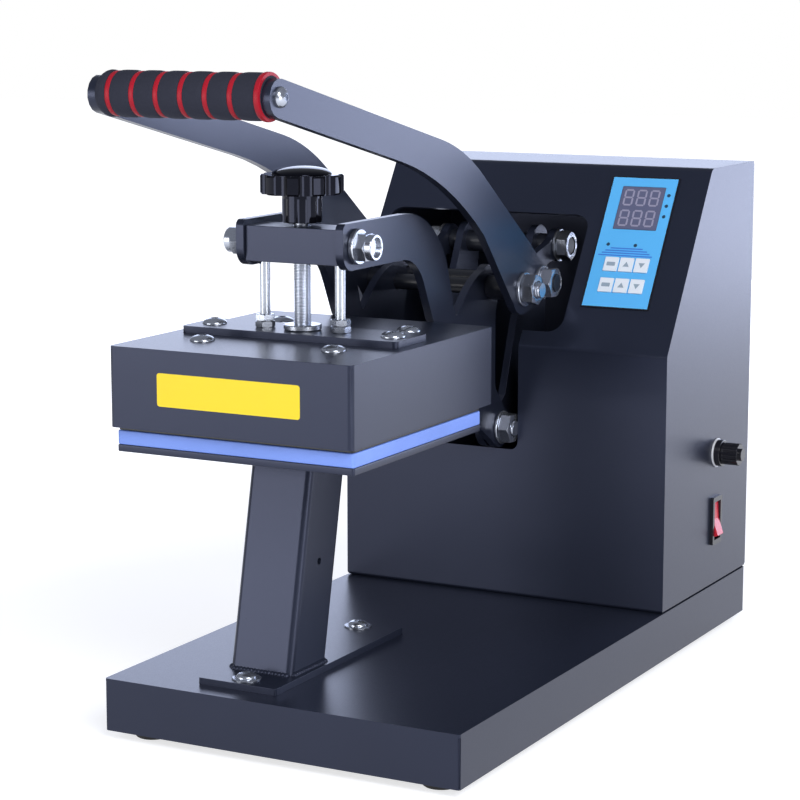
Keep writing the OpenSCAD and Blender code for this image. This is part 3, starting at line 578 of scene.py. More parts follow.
# Depth below the top, length, upper width and lower width of the corner seams
SEAMS = {
    "base_tray": (2.0 * MM, 27 * MM, 1.6 * MM, 1.0 * MM),
    "heater_casing": (1.8 * MM, 30 * MM, 1.7 * MM, 0.2 * MM),
}
for node, body, width, segments in FOLDED:
    sheet = copy_of(node, "folded_" + node)
    if node == "housing_shell":
        round_bottom(sheet)
    bevelled(sheet, width * MM, segments)
    if node in SEAMS:
        corner_slits(sheet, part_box(node), *SEAMS[node])
    dress(sheet, body, POWDER_COAT, [node])
for node, body, width in PLATES:
    from_node(node, "plate_" + node, width, body, POWDER_COAT, "charcoal_paint")
print("steel pieces:", len(FOLDED) + len(PLATES))

# %% [markdown]
# The post is a square tube with round corners, which the frame already has. The welder's work is
# added to it: a bead runs round its foot, laid as a row of overlapping drops. One drop is a
# squashed sphere, pressed flat where it meets the plate, and it is copied along the four sides.

# %% Post and weld bead
WELD_STEP = 2.2 * MM
WELD_SIZE = 2.4 * MM
from_node("post_tube", "post_square_tube", 0.5, "frame", POWDER_COAT, "charcoal_paint")


def weld_drop():
    """One flattened drop of weld metal."""
    bpy.ops.mesh.primitive_uv_sphere_add(segments=12, ring_count=6, radius=WELD_SIZE)
    drop = renamed(bpy.context.object, "weld_drop")
    drop.scale = (0.8, 1.0, 0.75)
    apply_place(drop)
    return drop


def weld_line(start, end, drop):
    """Drops from one point to another, turned a quarter round on a line that runs backwards."""
    steps = int((end - start).length / WELD_STEP)
    drops = []
    for i in range(steps + 1):
        bead = copied(drop)
        bead.location = start.lerp(end, i / steps)
        bead.rotation_euler = (0, 0, math.radians(90) * ((end - start).normalized().y > 0.5))
        apply_place(bead)
        drops.append(bead)
    return drops


plate_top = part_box("post_foot_plate")[1].z
post_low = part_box("post_tube")[0]
POST_HALF = 20 * MM
POST_INSET = 0.6 * MM
POST_DEPTH = 39 * MM
CORNER_GAP = 3 * MM
post_front = post_low.y + POST_INSET
post_back = post_front + POST_DEPTH
drop = weld_drop()
corners = [
    Vector((MECH_X - POST_HALF, post_front, plate_top)),
    Vector((MECH_X + POST_HALF, post_front, plate_top)),
    Vector((MECH_X + POST_HALF, post_back, plate_top)),
    Vector((MECH_X - POST_HALF, post_back, plate_top)),
]
beads = []
for i, corner in enumerate(corners):
    inset = (corners[(i + 1) % 4] - corner).normalized() * CORNER_GAP
    beads += weld_line(corner + inset, corners[(i + 1) % 4] - inset, drop)
weld = joined("post_weld_bead", beads)
dress(weld, "frame", WELD, angle=60)
removed(drop)
print("weld drops:", len(beads))

# %% [markdown]
# ## Threads and fasteners
# A thread at this size reads as fine even grooves. It is turned as a stack of ridges on the rod's
# outline, which shades like the real helix and stays a clean closed mesh. Nuts and bolt heads are
# hexagons whose ends are cut by a cone, as a real nut is chamfered: the hexagon is intersected
# with a turned barrel.

# %% Threads, nuts and bolts
def threaded(name, radius, length, pitch, depth, steps=24):
    """A threaded rod along Z from 0, with a chamfer at both ends."""
    outline = [(0, 0), (radius - depth, 0)]
    z = pitch / 2
    while z < length - pitch / 2:
        outline += [(radius - depth, z - pitch * 0.1), (radius, z + pitch * 0.25)]
        outline += [(radius, z + pitch * 0.45), (radius - depth, z + pitch * 0.75)]
        z += pitch
    outline += [(radius - depth, length), (0, length)]
    return turned(name, outline, steps)


def hexagon(name, flats, height, both_ends=True):
    """A chamfered hexagon along Z, from 0 to its height."""
    corner = flats / math.sqrt(3)
    block = renamed(cylinder(6, corner, height, (0, 0, height / 2)), name)
    face = flats / 2 * 0.97
    rise = (corner - face) * 0.62
    low = [(0, -0.0001), (corner * 1.2, -0.0001)]
    if both_ends:
        low = [(0, 0), (face, 0), (corner * 1.02, rise)]
    barrel = turned("barrel", low + [(corner * 1.02, height - rise), (face, height), (0, height)])
    return cut(block, barrel, "INTERSECT")


def nut(name, flats, hole, height):
    """A nut along Z, with a countersunk hole."""
    block = hexagon(name, flats, height)
    lead = hole / 2 * 0.12
    drill = turned("drill", [
        (0, -0.0001), (hole / 2 + lead + 0.0001, -0.0001), (hole / 2, lead),
        (hole / 2, height - lead), (hole / 2 + lead + 0.0001, height + 0.0001), (0, height + 0.0001)])
    return cut(block, drill)


def upright_nut(flats, hole, turn=0):
    """Function that models a nut along Z in a box."""
    return lambda i, low, high: placed(
        nut("nut", flats, hole, high.z - low.z), on_axis(low, high), turn=turn * i)


def washer(name, outer, hole, thickness, edge=0.25 * MM):
    """A washer or collar along Z with chamfered rims."""
    edge = min(edge, thickness / 4)
    return turned(name, [
        (hole, thickness / 2), (hole, 0), (outer - edge, 0), (outer, edge),
        (outer, thickness - edge), (outer - edge, thickness), (hole, thickness), (hole, thickness / 2)])


def domed_head(name, radius, height, socket):
    """Domed screw head along Z with a hexagon socket."""
    rise = [(radius * math.cos(a), height * (0.12 + 0.88 * math.sin(a)))
            for a in [math.radians(t) for t in range(0, 91, 10)]]
    head = turned(name, [(0, 0), (radius, 0)] + rise[:-1] + [(0, height)], 40)
    return cut(head, cylinder(6, socket, height, (0, 0, height * 0.95)))


# %% [markdown]
# The nuts and washers of the shafts are read from the frame: each separate solid of such a node
# is one fastener, and its box says where it sits and whether it is a thin washer or a nut. Each
# nut and each washer is modelled in its own place.

# %% Nuts and washers along X
M10_FLATS = 17 * MM
M10_HOLE = 10.2 * MM
# A thinner solid is a washer, a thicker one a nut
WASHER_LIMIT = 3 * MM


def along_x(i, low, high):
    """A washer or a nut on a shaft along X."""
    thickness = high.x - low.x
    seat = Vector((low.x, (low.y + high.y) / 2, (low.z + high.z) / 2))
    if thickness < WASHER_LIMIT:
        part = washer("washer", (high.y - low.y) / 2, M10_HOLE / 2, thickness)
    else:
        part = nut("nut", M10_FLATS, M10_HOLE, thickness)
    return placed(part, seat, "X", turn=17 * i)


remade("shaft_nuts", "shaft_nuts_and_washers", "frame", along_x)
remade("handle_nuts", "lever_nuts_and_washers", "lever", along_x)

# %% [markdown]
# The shafts themselves are blackened steel between the plates and threaded at their ends, where
# the zinc of the nuts has the same finish. So a shaft is a smooth bar and two threaded ends, and
# the end that stands out of each nut shows its thread.

# %% Shafts
THREAD_RADIUS = 4.98 * MM


def shaft(name, node, body, thread_length, radius=THREAD_RADIUS):
    """A bar along X over the node's whole length, with threaded ends as a piece of their own."""
    low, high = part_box(node)
    start = Vector((low.x, middle((low, high)).y, middle((low, high)).z))
    length = high.x - low.x
    bar = turned(name, [
        (0, thread_length), (radius, thread_length), (radius, length - thread_length),
        (0, length - thread_length)], 40)
    dress(placed(bar, start, "X"), body, BLACK_STEEL, [node])
    ends = []
    for offset in (0, length - thread_length):
        end = threaded("end", radius, thread_length, 1.5 * MM, 0.55 * MM)
        ends.append(raised(end, offset))
    ends = placed(joined(name + "_threads", ends), start, "X")
    dress(ends, body, ZINC)


shaft("lower_pivot_shaft", "lower_shaft", "frame", 10 * MM)
shaft("lever_pivot_shaft", "handle_shaft", "lever", 13 * MM)
shaft("link_front_shaft", "crank_shaft", "toggle_links", 4 * MM)
for node, body in [("rear_shaft", "frame"), ("crank_pins", "lever"), ("handle_bushes", "lever"),
                   ("plate_spacers", "press_head")]:
    from_node(node, "turned_" + node, 0.35, body, BLACK_STEEL, "zinc_steel")
print("shafts made")

# %% [markdown]
# ## Flange bolts
# The uprights and the post are held with low round flange bolts, and the beam with hexagon bolts
# that end in a collar. The frame's box of each bolt runs from the end of its shank to the top of
# its head, and the head's height is known, so the seat is that far below the top.

# %% Bolts of the tray and the beam
TRAY_HEAD = 4.2 * MM
FLANGE = 1.2 * MM
BEAM_HEAD = 13 * MM


def tray_bolt(i, low, high):
    """Low domed bolt with a round flange, upright in its box."""
    shank = high.z - low.z - TRAY_HEAD
    rim = turned("rim", [
        (0, 0), (7.9 * MM, 0), (8.2 * MM, 0.3 * MM), (8.2 * MM, 0.8 * MM), (7.8 * MM, FLANGE), (0, FLANGE)])
    head = raised(domed_head("head", 5.8 * MM, TRAY_HEAD - FLANGE, 2.5 * MM), FLANGE - 0.02 * MM)
    stem = raised(threaded("stem", 3.98 * MM, shank + 0.3 * MM, 1.25 * MM, 0.5 * MM), -shank)
    return placed(joined("bolt", [rim, head, stem]), on_axis(low, high, high.z - TRAY_HEAD), turn=23 * i)


def beam_bolt(i, low, high):
    """Hexagon bolt with a washer face and a collar, along X and outwards from the beam."""
    right = low.x > MECH_X
    shank = high.x - low.x - BEAM_HEAD
    rim = turned("rim", [
        (0, 0), (9.5 * MM, 0), (10 * MM, 0.5 * MM), (10 * MM, 2.5 * MM), (9.5 * MM, 3 * MM), (0, 3 * MM)])
    block = hexagon("block", 15 * MM, 9 * MM, both_ends=False)
    end = turned("end", [(0, 8 * MM), (7.25 * MM, 8 * MM), (7.25 * MM, 12.4 * MM), (6.9 * MM, 13 * MM),
                         (5.8 * MM, 13 * MM), (5.5 * MM, 12.6 * MM), (5.5 * MM, 11 * MM), (0, 11 * MM)])
    stem = raised(threaded("stem", THREAD_RADIUS, shank + 0.5 * MM, 1.25 * MM, 0.5 * MM), -shank)
    seat = middle((low, high))
    seat.x = low.x + shank if right else high.x - shank
    return placed(joined("bolt", [rim, block, end, stem]), seat, "X" if right else "-X")


remade("tray_bolts", "tray_flange_bolts", "frame", tray_bolt)
remade("beam_bolts", "beam_collar_bolts", "clamp_yoke", beam_bolt)
remade("tray_nuts", "tray_hexagon_nuts", "frame", upright_nut(13 * MM, 8.1 * MM))

# %% [markdown]
# ## Domed screws
# The head's casing and the rear cover are held with domed socket screws. Each solid's own box
# tells the screws from the square-set nuts: a nut is flat, a screw is long.

# %% Domed screws
CASING_HEAD = 3.6 * MM
COVER_HEAD = 2.4 * MM
# A screw of the head is longer than this, and its nut is not
NUT_LIMIT = 5 * MM
# Only the cover's upright screws are taller than this
UPRIGHT_LENGTH = 8.5 * MM


def domed_screw(radius, head, socket, length, thread):
    """Domed screw along Z, seated at zero, with its shank below."""
    shank = length - head
    stem = threaded("stem", thread, shank + 0.2 * MM, 0.8 * MM, 0.3 * MM, steps=16)
    return joined("domed_screw", [domed_head("head", radius, head, socket), raised(stem, -shank)])


def casing_screw(i, low, high):
    """Screw of the head's casing, or the nut below one."""
    if high.z - low.z < NUT_LIMIT:
        return upright_nut(8 * MM, 5.1 * MM)(i, low, high)
    screw = domed_screw(7 * MM, CASING_HEAD, 2.6 * MM, high.z - low.z, 2.48 * MM)
    return placed(screw, on_axis(low, high, high.z - CASING_HEAD), turn=11)


def case_screw(i, low, high):
    """Small screw of the rear cover, upright or pointing forwards."""
    if high.z - low.z > UPRIGHT_LENGTH:
        screw = domed_screw(4 * MM, COVER_HEAD, 1.4 * MM, high.z - low.z, 1.98 * MM)
        return placed(screw, on_axis(low, high, high.z - COVER_HEAD))
    seat = Vector(((low.x + high.x) / 2, high.y - COVER_HEAD, (low.z + high.z) / 2))
    return placed(domed_screw(4 * MM, COVER_HEAD, 1.4 * MM, high.y - low.y, 1.48 * MM), seat, "Y")


remade("casing_screws", "casing_domed_screws", "press_head", casing_screw)
remade("case_screws", "case_domed_screws", "frame", case_screw)

# %% [markdown]
# ## Pressure screw, guide rods and their hardware
# One threaded spindle presses the head down, and two plain rods keep it level. Each rod is locked
# to the strap with two nuts on top of each other and one below.

# %% Spindle, rods and nuts
low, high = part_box("pressure_screw")
radius, height = (high.x - low.x) / 2 - 0.02 * MM, high.z - low.z
spindle = threaded("pressure_spindle", radius, height, 1.5 * MM, 0.6 * MM, 32)
placed(spindle, on_axis(low, high))
dress(spindle, "screw_and_knob", ZINC, ["pressure_screw"])


def collar(i, low, high):
    """Collar of the spindle."""
    ring = washer("collar", (high.x - low.x) / 2, 5.05 * MM, high.z - low.z, edge=0.5 * MM)
    return placed(ring, on_axis(low, high))


def guide_rod(i, low, high):
    """Plain rod with chamfered ends."""
    radius, height = (high.x - low.x) / 2, high.z - low.z
    edge = 0.6 * MM
    rod = turned("rod", [(0, 0), (radius - edge, 0), (radius, edge), (radius, height - edge),
                         (radius - edge, height), (0, height)], 40)
    return placed(rod, on_axis(low, high))


remade("screw_collars", "spindle_collars", "screw_and_knob", collar)
remade("guide_rods", "guide_rod_pair", "press_head", guide_rod, BRIGHT_STEEL)
remade("guide_nuts", "guide_rod_nuts", "press_head", upright_nut(10 * MM, 6.1 * MM, turn=13))

# %% [markdown]
# ## Knob
# The knob is a black moulding: a flat dome with ten finger grooves over a neck with six. It is
# turned first, then a ring of round cutters takes the grooves out, and a small bevel rounds the
# edges that the cutters leave, because a moulded edge is never sharp and its highlight shows.

# %% Fluted knob
low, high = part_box("knob")
axis = on_axis(low, high)
rim, neck, dome, bore = 23.5 * MM, 11.2 * MM, 17 * MM, 5.06 * MM
step, shoulder, bore_top, crown = 16 * MM, 26.9 * MM, 23.1 * MM, high.z - low.z
neck_edge, rim_edge = 0.6 * MM, 1 * MM
outline = [(bore, 0), (neck - neck_edge, 0), (neck, neck_edge), (neck, step), (rim - rim_edge, step),
           (rim, step + rim_edge), (rim, shoulder - rim_edge), (rim - rim_edge, shoulder), (dome, shoulder)]
outline += [(dome * math.cos(math.radians(a)), shoulder + (crown - shoulder) * math.sin(math.radians(a)))
            for a in range(8, 90, 9)]
outline += [(0, crown), (0, bore_top), (bore, bore_top), (bore, 0)]
knob = turned("fluted_knob", outline, 120)
# Count, radius, depth, radius of the ring, middle height and first angle of the grooves
GROOVES = [
    (10, 5 * MM, 20 * MM, 25.7 * MM, step + 9 * MM, 18),
    (6, 5.4 * MM, 15 * MM, 15.2 * MM, 6 * MM, 0),
]
flutes = []
for count, radius, depth, ring_radius, height, first in GROOVES:
    for i in range(count):
        angle = math.radians(360 / count * i + first)
        place = (ring_radius * math.cos(angle), ring_radius * math.sin(angle), height)
        flutes.append(cylinder(40, radius, depth, place))
cut(knob, joined("flutes", flutes))
tidy(knob, merge=0.02 * MM)
bevelled(knob, 0.5 * MM, 2, angle=38)
placed(knob, axis)
dress(knob, "screw_and_knob", GLOSSY_BLACK, ["knob"], angle=40)
print("knob faces:", len(knob.data.polygons))

# %% [markdown]
# ## Silicone pad
# The pad is a solid slab of blue silicone rubber cut from a moulded sheet. Its cut edge is a
# little soft, and its surface has a fine cloth-like grain, which the finish gives.

# %% Pad and hidden plates
from_node("silicone_pad", "blue_silicone_pad", 0.8, "frame", SILICONE, "silicone", steps=3)
# The heating plate's near-black finish is painted shade for the thin gap it sits in
from_node("heating_plate", "cast_heating_plate", 0.8, "press_head", PAINTED_SHADE_PLATE, "cast_aluminium")
print("pad and heating plate")

# %% [markdown]
# ## Feet
# Each foot is a rubber moulding pushed through the tray: a tapered pad with a soft rim, a neck and
# a button above. One outline turned round Z gives all of it.

# %% Rubber feet
def push_in_foot(i, low, high):
    """One foot in its box."""
    wide = (high.x - low.x) / 2
    foot = turned("foot", [
        (0, 0), (wide - 1.8 * MM, 0), (wide - 1.1 * MM, 0.5 * MM), (wide, 4.2 * MM),
        (wide - 0.4 * MM, 4.95 * MM), (3.15 * MM, 4.95 * MM), (3.15 * MM, 7.05 * MM),
        (4.4 * MM, 7.05 * MM), (2.5 * MM, 10.05 * MM), (0, 10.05 * MM)])
    return placed(foot, on_axis(low, high))


remade("rubber_feet", "push_in_feet", "frame", push_in_foot, RUBBER)

# %% [markdown]
# ## Grip
# The grip is soft black foam on a steel rod, parted by red rubber rings that sit in grooves. The
# foam swells a little between the rings and tapers at its left end, so the outline is a curve per
# segment. Six rings lie just below the foam's surface, and the last one stands against the arm.

# %% Foam grip
low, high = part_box("foam_grip")
grip_y, grip_z = (low.y + high.y) / 2, (low.z + high.z) / 2
GRIP_RADIUS = (high.y - low.y) / 2
GROOVE = 1.5 * MM
ROD = 4.05 * MM
RING_HALF = 1.6 * MM
TAPER = (4 * MM, 2 * MM)
ring_boxes = solids("grip_rings")
ring_middles = [middle(box).x for box in ring_boxes]
starts = [low.x] + [x + RING_HALF for x in ring_middles[:-1]]
ends = [x - RING_HALF for x in ring_middles]


def foam_radius(along, t, length):
    """Radius of the foam at a distance from its left end, a part t along its segment."""
    swell = min(0.5 * MM, length * 0.12) * (2 * t - 1) ** 4
    taper = TAPER[1] * max(0.0, 1 - along / TAPER[0]) ** 1.6
    return GRIP_RADIUS - max(taper, swell if along > TAPER[0] else 0)


outline = [(ROD, high.x - low.x - 0.5 * MM), (ROD, 0.5 * MM), (ROD, 0)]
for i, (start, end) in enumerate(zip(starts, ends)):
    length = end - start
    steps = max(4, int(length / (1.2 * MM)))
    for j in range(steps + 1):
        along = start - low.x + length * j / steps
        outline.append((foam_radius(along, j / steps, length), along))
    after = starts[i + 1] if i + 1 < len(starts) else high.x
    outline += [(GRIP_RADIUS - GROOVE, end - low.x), (GRIP_RADIUS - GROOVE, after - low.x)]
outline += [(ROD, high.x - low.x), (ROD, high.x - low.x - 0.5 * MM)]
foam = placed(turned("foam_handle_grip", outline, 72), Vector((low.x, grip_y, grip_z)), "X")
dress(foam, "lever", FOAM, ["foam_grip"], angle=50)

# %% Red rings
rings = []
for ring_low, ring_high in ring_boxes:
    last = ring_low.x == ring_boxes[-1][0].x
    outer = (ring_high.y - ring_low.y) / 2 if last else GRIP_RADIUS - 0.4 * MM
    inner = GRIP_RADIUS - GROOVE + 0.02 * MM
    width = ring_high.x - ring_low.x
    crown = [(outer - 0.4 * MM * (1 - math.sin(a)), width / 2 * (1 - math.cos(a)))
             for a in map(math.radians, range(20, 161, 20))]
    outline = [(inner, width / 2), (inner, 0)] + crown + [(inner, width), (inner, width / 2)]
    ring = turned("ring", outline, 72)
    rings.append(placed(ring, Vector((ring_low.x, grip_y, grip_z)), "X"))
dress(joined("red_grip_rings", rings), "lever", RED_RUBBER, ["grip_rings"], angle=50)
print("foam segments:", len(starts), "rings:", len(rings))

# %% Grip ends and rod
cap_low, cap_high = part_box("grip_cap")
rise, base = cap_high.x - cap_low.x, (cap_high.y - cap_low.y) / 2
ball = (base ** 2 + rise ** 2) / (2 * rise)
tilt = math.asin(base / ball)
cap = turned("domed_grip_cap", [(0, 2.1 * MM), (ROD, 2.1 * MM), (ROD, 0)]
             + [(ball * math.sin(tilt * (1 - i / 9)), ball * math.cos(tilt * (1 - i / 9)) - ball + rise)
                for i in range(10)], 64)
placed(cap, Vector((cap_high.x, grip_y, grip_z)), "-X")
dress(cap, "lever", BLACK_PLASTIC, ["grip_cap"])
low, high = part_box("grip_rod")
button = domed_head("button", 5.4 * MM, 4 * MM, 2.2 * MM)
placed(button, Vector((high.x - 4 * MM, grip_y, grip_z)), "X")
length = high.x - low.x - 3.9 * MM
bar = turned("bar", [(0, 0), (3.98 * MM, 0), (3.98 * MM, length), (0, length)])
placed(bar, Vector((low.x, grip_y, grip_z)), "X")
dress(joined("grip_rod_with_button", [bar, button]), "lever", ZINC, ["grip_rod"])
print("grip ends done")

# %% [markdown]
# ## Control panel
# The panel is printed film over a plastic face: a thin black rim round blue, partly the bezel and
# partly painted shade along the film's raised edge, a grey window with two rows of unlit digits,
# small lamps, a stack of four stripes, and two rows of keys.
# Print is modelled as very thin plates that stand a few hundredths of a millimetre proud of the
# film, so nothing is an image. Every place is given across and up the slope, from the bend, which
# is how the panel was laid out.

# %% Thin plates on the slope
BEND_Z = 195 * MM
PANEL_FRONT = 1.02 * MM
slope_start = Vector((0, 66 * MM, BEND_Z))


def slope_point(x, up, out):
    """Point at a place across and up the slope, and a height above it."""
    return slope_start + Vector((x, 0, 0)) + PANEL_UP * up + PANEL_OUT * out


def slope_plate(name, outline, out, thickness):
    """Thin plate with an outline of (across, up) points, standing on a height above the slope."""
    deselect()
    bpy.ops.mesh.primitive_circle_add(vertices=len(outline), radius=0.01, fill_type="NGON")
    plate = renamed(bpy.context.object, name)
    for vertex, (x, up) in zip(plate.data.vertices, outline):
        vertex.co = (x, up, 0)
    bpy.ops.object.mode_set(mode="EDIT")
    bpy.ops.mesh.select_all(action="SELECT")
    bpy.ops.mesh.extrude_region_move(TRANSFORM_OT_translate={"value": (0, 0, thickness)})
    bpy.ops.object.mode_set(mode="OBJECT")
    tidy(plate, merge=0.001 * MM)
    plate.matrix_world = on_panel(slope_point(0, 0, out))
    apply_place(plate)
    return plate


def rectangle(x, up, width, height, radius=0.0, corner_steps=4):
    """Outline of a rectangle about a middle, with round corners."""
    if radius == 0:
        return [(x - width / 2, up - height / 2), (x + width / 2, up - height / 2),
                (x + width / 2, up + height / 2), (x - width / 2, up + height / 2)]
    points = []
    for sx, sy, start in ((1, -1, -90), (1, 1, 0), (-1, 1, 90), (-1, -1, 180)):
        for i in range(corner_steps + 1):
            a = math.radians(start + 90 * i / corner_steps)
            points.append((x + sx * (width / 2 - radius) + radius * math.cos(a),
                           up + sy * (height / 2 - radius) + radius * math.sin(a)))
    return points


def disc(x, up, radius, steps=24):
    """Outline of a circle."""
    angles = [2 * math.pi * i / steps for i in range(steps)]
    return [(x + radius * math.cos(a), up + radius * math.sin(a)) for a in angles]


# %% Panel film, border and window
PANEL_MIDDLE = (69.2 * MM, 75.2 * MM)
PANEL_SIZE = (44.8 * MM, 91.4 * MM)
WINDOW_MIDDLE = (69.5 * MM, 99 * MM)
PRINT = 0.05 * MM
from_node("panel_face", "panel_film", 0.25, "frame", BLUE_FILM, "blue_panel")


def frame_strips(name, middle_at, size, width, height):
    """Four thin strips that make the outline of a rectangle and stand up from the slope."""
    x, up = middle_at
    w, h = size
    rows = [(x, up + (h - width) / 2, w, width), (x, up - (h - width) / 2, w, width),
            (x - (w - width) / 2, up, width, h - 2 * width),
            (x + (w - width) / 2, up, width, h - 2 * width)]
    strips = [slope_plate("strip", rectangle(*row), PRINT, height) for row in rows]
    return joined(name, strips)


# The black strips round the film are partly the bezel and partly painted shade along its raised edge
RIM = 0.12 * MM
rim_size = (PANEL_SIZE[0] + 2 * RIM, PANEL_SIZE[1] + 2 * RIM)
rim = frame_strips("panel_rim_and_painted_shade", PANEL_MIDDLE, rim_size, 0.8 * MM, PANEL_FRONT)
dress(rim, "frame", BLACK_PLASTIC)
from_node("display_window", "display_lens", 0.3, "frame", DISPLAY, "window")
print("panel film and window")

# %% [markdown]
# The two rows of digits are unlit seven-segment figures. One segment is a slim hexagon, and seven
# of them make an eight. Each row has three digits, and both rows are built by the same loop.

# %% Digits of the display
DIGIT = (5.4 * MM, 10.4 * MM)
DIGIT_PITCH = (8.6, 7.2)
DIGIT_SHIFT = 0.2
STROKE = 1.15 * MM
DISPLAY_FRONT = 1.18 * MM


def segment(x, up, length, upright):
    """Outline of one slim hexagonal segment."""
    half, point = length / 2, STROKE / 2
    shape = [(-half, 0), (-half + point, -point), (half - point, -point),
             (half, 0), (half - point, point), (-half + point, point)]
    if upright:
        shape = [(-b, a) for a, b in shape]
    return [(x + a, up + b) for a, b in shape]


def digit(x, up):
    """The seven segments of a figure eight."""
    w, h = DIGIT
    gap = 0.25 * MM
    outlines = [segment(x, up + s * h / 2, w - gap, False) for s in (-1, 0, 1)]
    outlines += [segment(x + sx * w / 2, up + sy * h / 4, h / 2 - gap, True)
                 for sx in (-1, 1) for sy in (-1, 1)]
    return [slope_plate("segment", outline, DISPLAY_FRONT, PRINT) for outline in outlines]


segments = []
for row in (1, -1):
    for column in (-1, 0, 1):
        across = (column * DIGIT_PITCH[0] - DIGIT_SHIFT) * MM
        segments += digit(WINDOW_MIDDLE[0] + across, WINDOW_MIDDLE[1] + row * DIGIT_PITCH[1] * MM)
dress(joined("display_digits", segments), "frame", SEGMENTS)
print("segments:", len(segments))

# %% Lamps and stripes
lamps = [(87.0, 108.6), (87.0, 101.2), (87.0, 93.8), (54.8, 73.0), (73.0, 73.0)]
LAMP_RADIUS = 1.15 * MM
LAMP_THICKNESS = 0.12 * MM
# How deep the foot of a print goes into the film
SINK = 0.02 * MM
dots = [slope_plate("lamp", disc(x * MM, up * MM, LAMP_RADIUS), PANEL_FRONT - SINK, LAMP_THICKNESS)
        for x, up in lamps]
dress(joined("panel_lamps", dots), "frame", LAMP_LENS)
STRIPE_LENGTHS = [36, 32, 28, 21.5]
STRIPE_PLACE = (67.8 * MM, 65.6)
STRIPE_PITCH = 1.65
STRIPE_WIDTH = 0.85 * MM
stripes = []
for i, length in enumerate(STRIPE_LENGTHS):
    up = (STRIPE_PLACE[1] + STRIPE_PITCH * i) * MM
    outline = rectangle(STRIPE_PLACE[0], up, length * MM, STRIPE_WIDTH)
    stripes.append(slope_plate("stripe", outline, PANEL_FRONT - SINK, PRINT))
dress(joined("panel_stripes", stripes), "frame", DARK_FILM)
print("lamps:", len(lamps), "stripes:", len(stripes))

# %% [markdown]
# ## Keys
# Each key is its own piece on its own body, so that it can be pressed. The middle keys carry a
# triangle that points up, the right ones a triangle that points down, and the left ones a plain
# bar. The figure on a key rides with it.

# %% Keys and their figures
KEY_TOP = 1.5 * MM
KEY_X = (60 * MM, 70.2 * MM, 80.4 * MM)
KEY_UP = (59.4 * MM, 45 * MM)
for i in range(6):
    node, body = f"key_{i + 1}", f"panel_key_{i + 1}"
    x, up = KEY_X[i % 3], KEY_UP[i // 3]
    from_node(node, f"key_cap_{i + 1}", 0.3, body, WHITE_FILM, "white_keys")
    if i % 3 == 0:
        figure = rectangle(x, up, 5.6 * MM, 2.6 * MM, 0.4 * MM)
    elif i % 3 == 1:
        figure = [(x - 2.1 * MM, up - 1.5 * MM), (x + 2.1 * MM, up - 1.5 * MM), (x, up + 1.9 * MM)]
    else:
        figure = [(x - 2.1 * MM, up + 1.5 * MM), (x, up - 1.9 * MM), (x + 2.1 * MM, up + 1.5 * MM)]
    mark = slope_plate(f"key_figure_{i + 1}", figure, KEY_TOP - SINK, PRINT)
    dress(mark, body, GREY_PRINT)
print("keys: 6")

# %% [markdown]
# ## Switch, fuse and inlet
# These are bought-in black mouldings. Their shape comes from the frame with rounded edges. The
# fuse holder's node holds parts of two materials, so each part is split off by its place.

# %% Bought-in parts
SIDE_X = 111 * MM
BLACK = (BLACK_PLASTIC, "black_plastic")
from_node("switch_bezel", "switch_frame", 0.45, "frame", *BLACK, steps=3)
from_node("rocker", "switch_rocker_cap", 0.6, "switch_rocker", RED_PLASTIC, "red_plastic",
          steps=3, fold=12, angle=40)
from_node("fuse_holder", "fuse_holder_body", 0.5, "frame", *BLACK,
          keep=lambda low, high: high.x > SIDE_X + 2 * MM)
from_node("fuse_holder", "fuse_white_washer", 0.25, "frame", WHITE_PLASTIC, "black_plastic",
          keep=lambda low, high: SIDE_X < low.x < SIDE_X + 0.5 * MM, stands=False)
from_node("fuse_holder", "fuse_back_nut", 0.4, "frame", *BLACK,
          keep=lambda low, high: high.x < SIDE_X, stands=False)
from_node("fuse_cap", "fuse_screw_cap", 0.4, "fuse_carrier", *BLACK, fold=40, angle=40)
from_node("power_inlet", "inlet_body", 0.5, "frame", *BLACK)
from_node("head_gland", "lead_gland", 0.5, "press_head", *BLACK)
from_node("controller_case", "controller_body", 0.6, "frame", *BLACK)
print("bought-in parts done")

# %% [markdown]
# ## Sticker
# A yellow sticker is on the front of the head. It stays plain here. It is a thin vinyl plate with
# rounded corners that stands a tenth of a millimetre off the casing.

# %% Plain yellow sticker
STICKER_Z = 199.5 * MM
STICKER_SIZE = (90 * MM, 18.4 * MM)
STICKER_CORNER = 1.6 * MM
STICKER_THICKNESS = 0.12 * MM
casing_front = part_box("heater_casing")[0].y
deselect()
bpy.ops.mesh.primitive_plane_add(
    size=1, location=(MECH_X, casing_front, STICKER_Z), rotation=(math.radians(90), 0, 0))
sticker = renamed(bpy.context.object, "yellow_sticker")
sticker.scale = (*STICKER_SIZE, 1)
apply_place(sticker)
bpy.ops.object.mode_set(mode="EDIT")
bpy.ops.mesh.select_all(action="SELECT")
bpy.ops.mesh.bevel(offset=STICKER_CORNER, segments=5, affect="VERTICES")
bpy.ops.mesh.extrude_region_move(TRANSFORM_OT_translate={"value": (0, -STICKER_THICKNESS, 0)})
bpy.ops.object.mode_set(mode="OBJECT")
tidy(sticker)
dress(sticker, "press_head", YELLOW_VINYL)
print("sticker at y", round(casing_front, 4))

# %% [markdown]
# ## Nodes that stay as they are
# The glass fuse and the insulating mat sit deep inside and keep their frame shapes. They still get
# a proper finish, because the press can be opened and looked into.

# %% Finishes of the remaining nodes
for node, material in [("fuse", WHITE_PLASTIC), ("insulation", MAT)]:
    piece = frame["nodes"][node]
    piece.data.materials.clear()
    piece.data.materials.append(material)
print("remaining nodes finished")

# %% [markdown]
# ## Light, floor and background
# The light is that of a product photograph: a soft lamp at the right, a low one in front at the
# left, a high one in front at the right, and two bright sheets behind. The sheets' reflections put
# a cool sheen on the right side and on every top face.

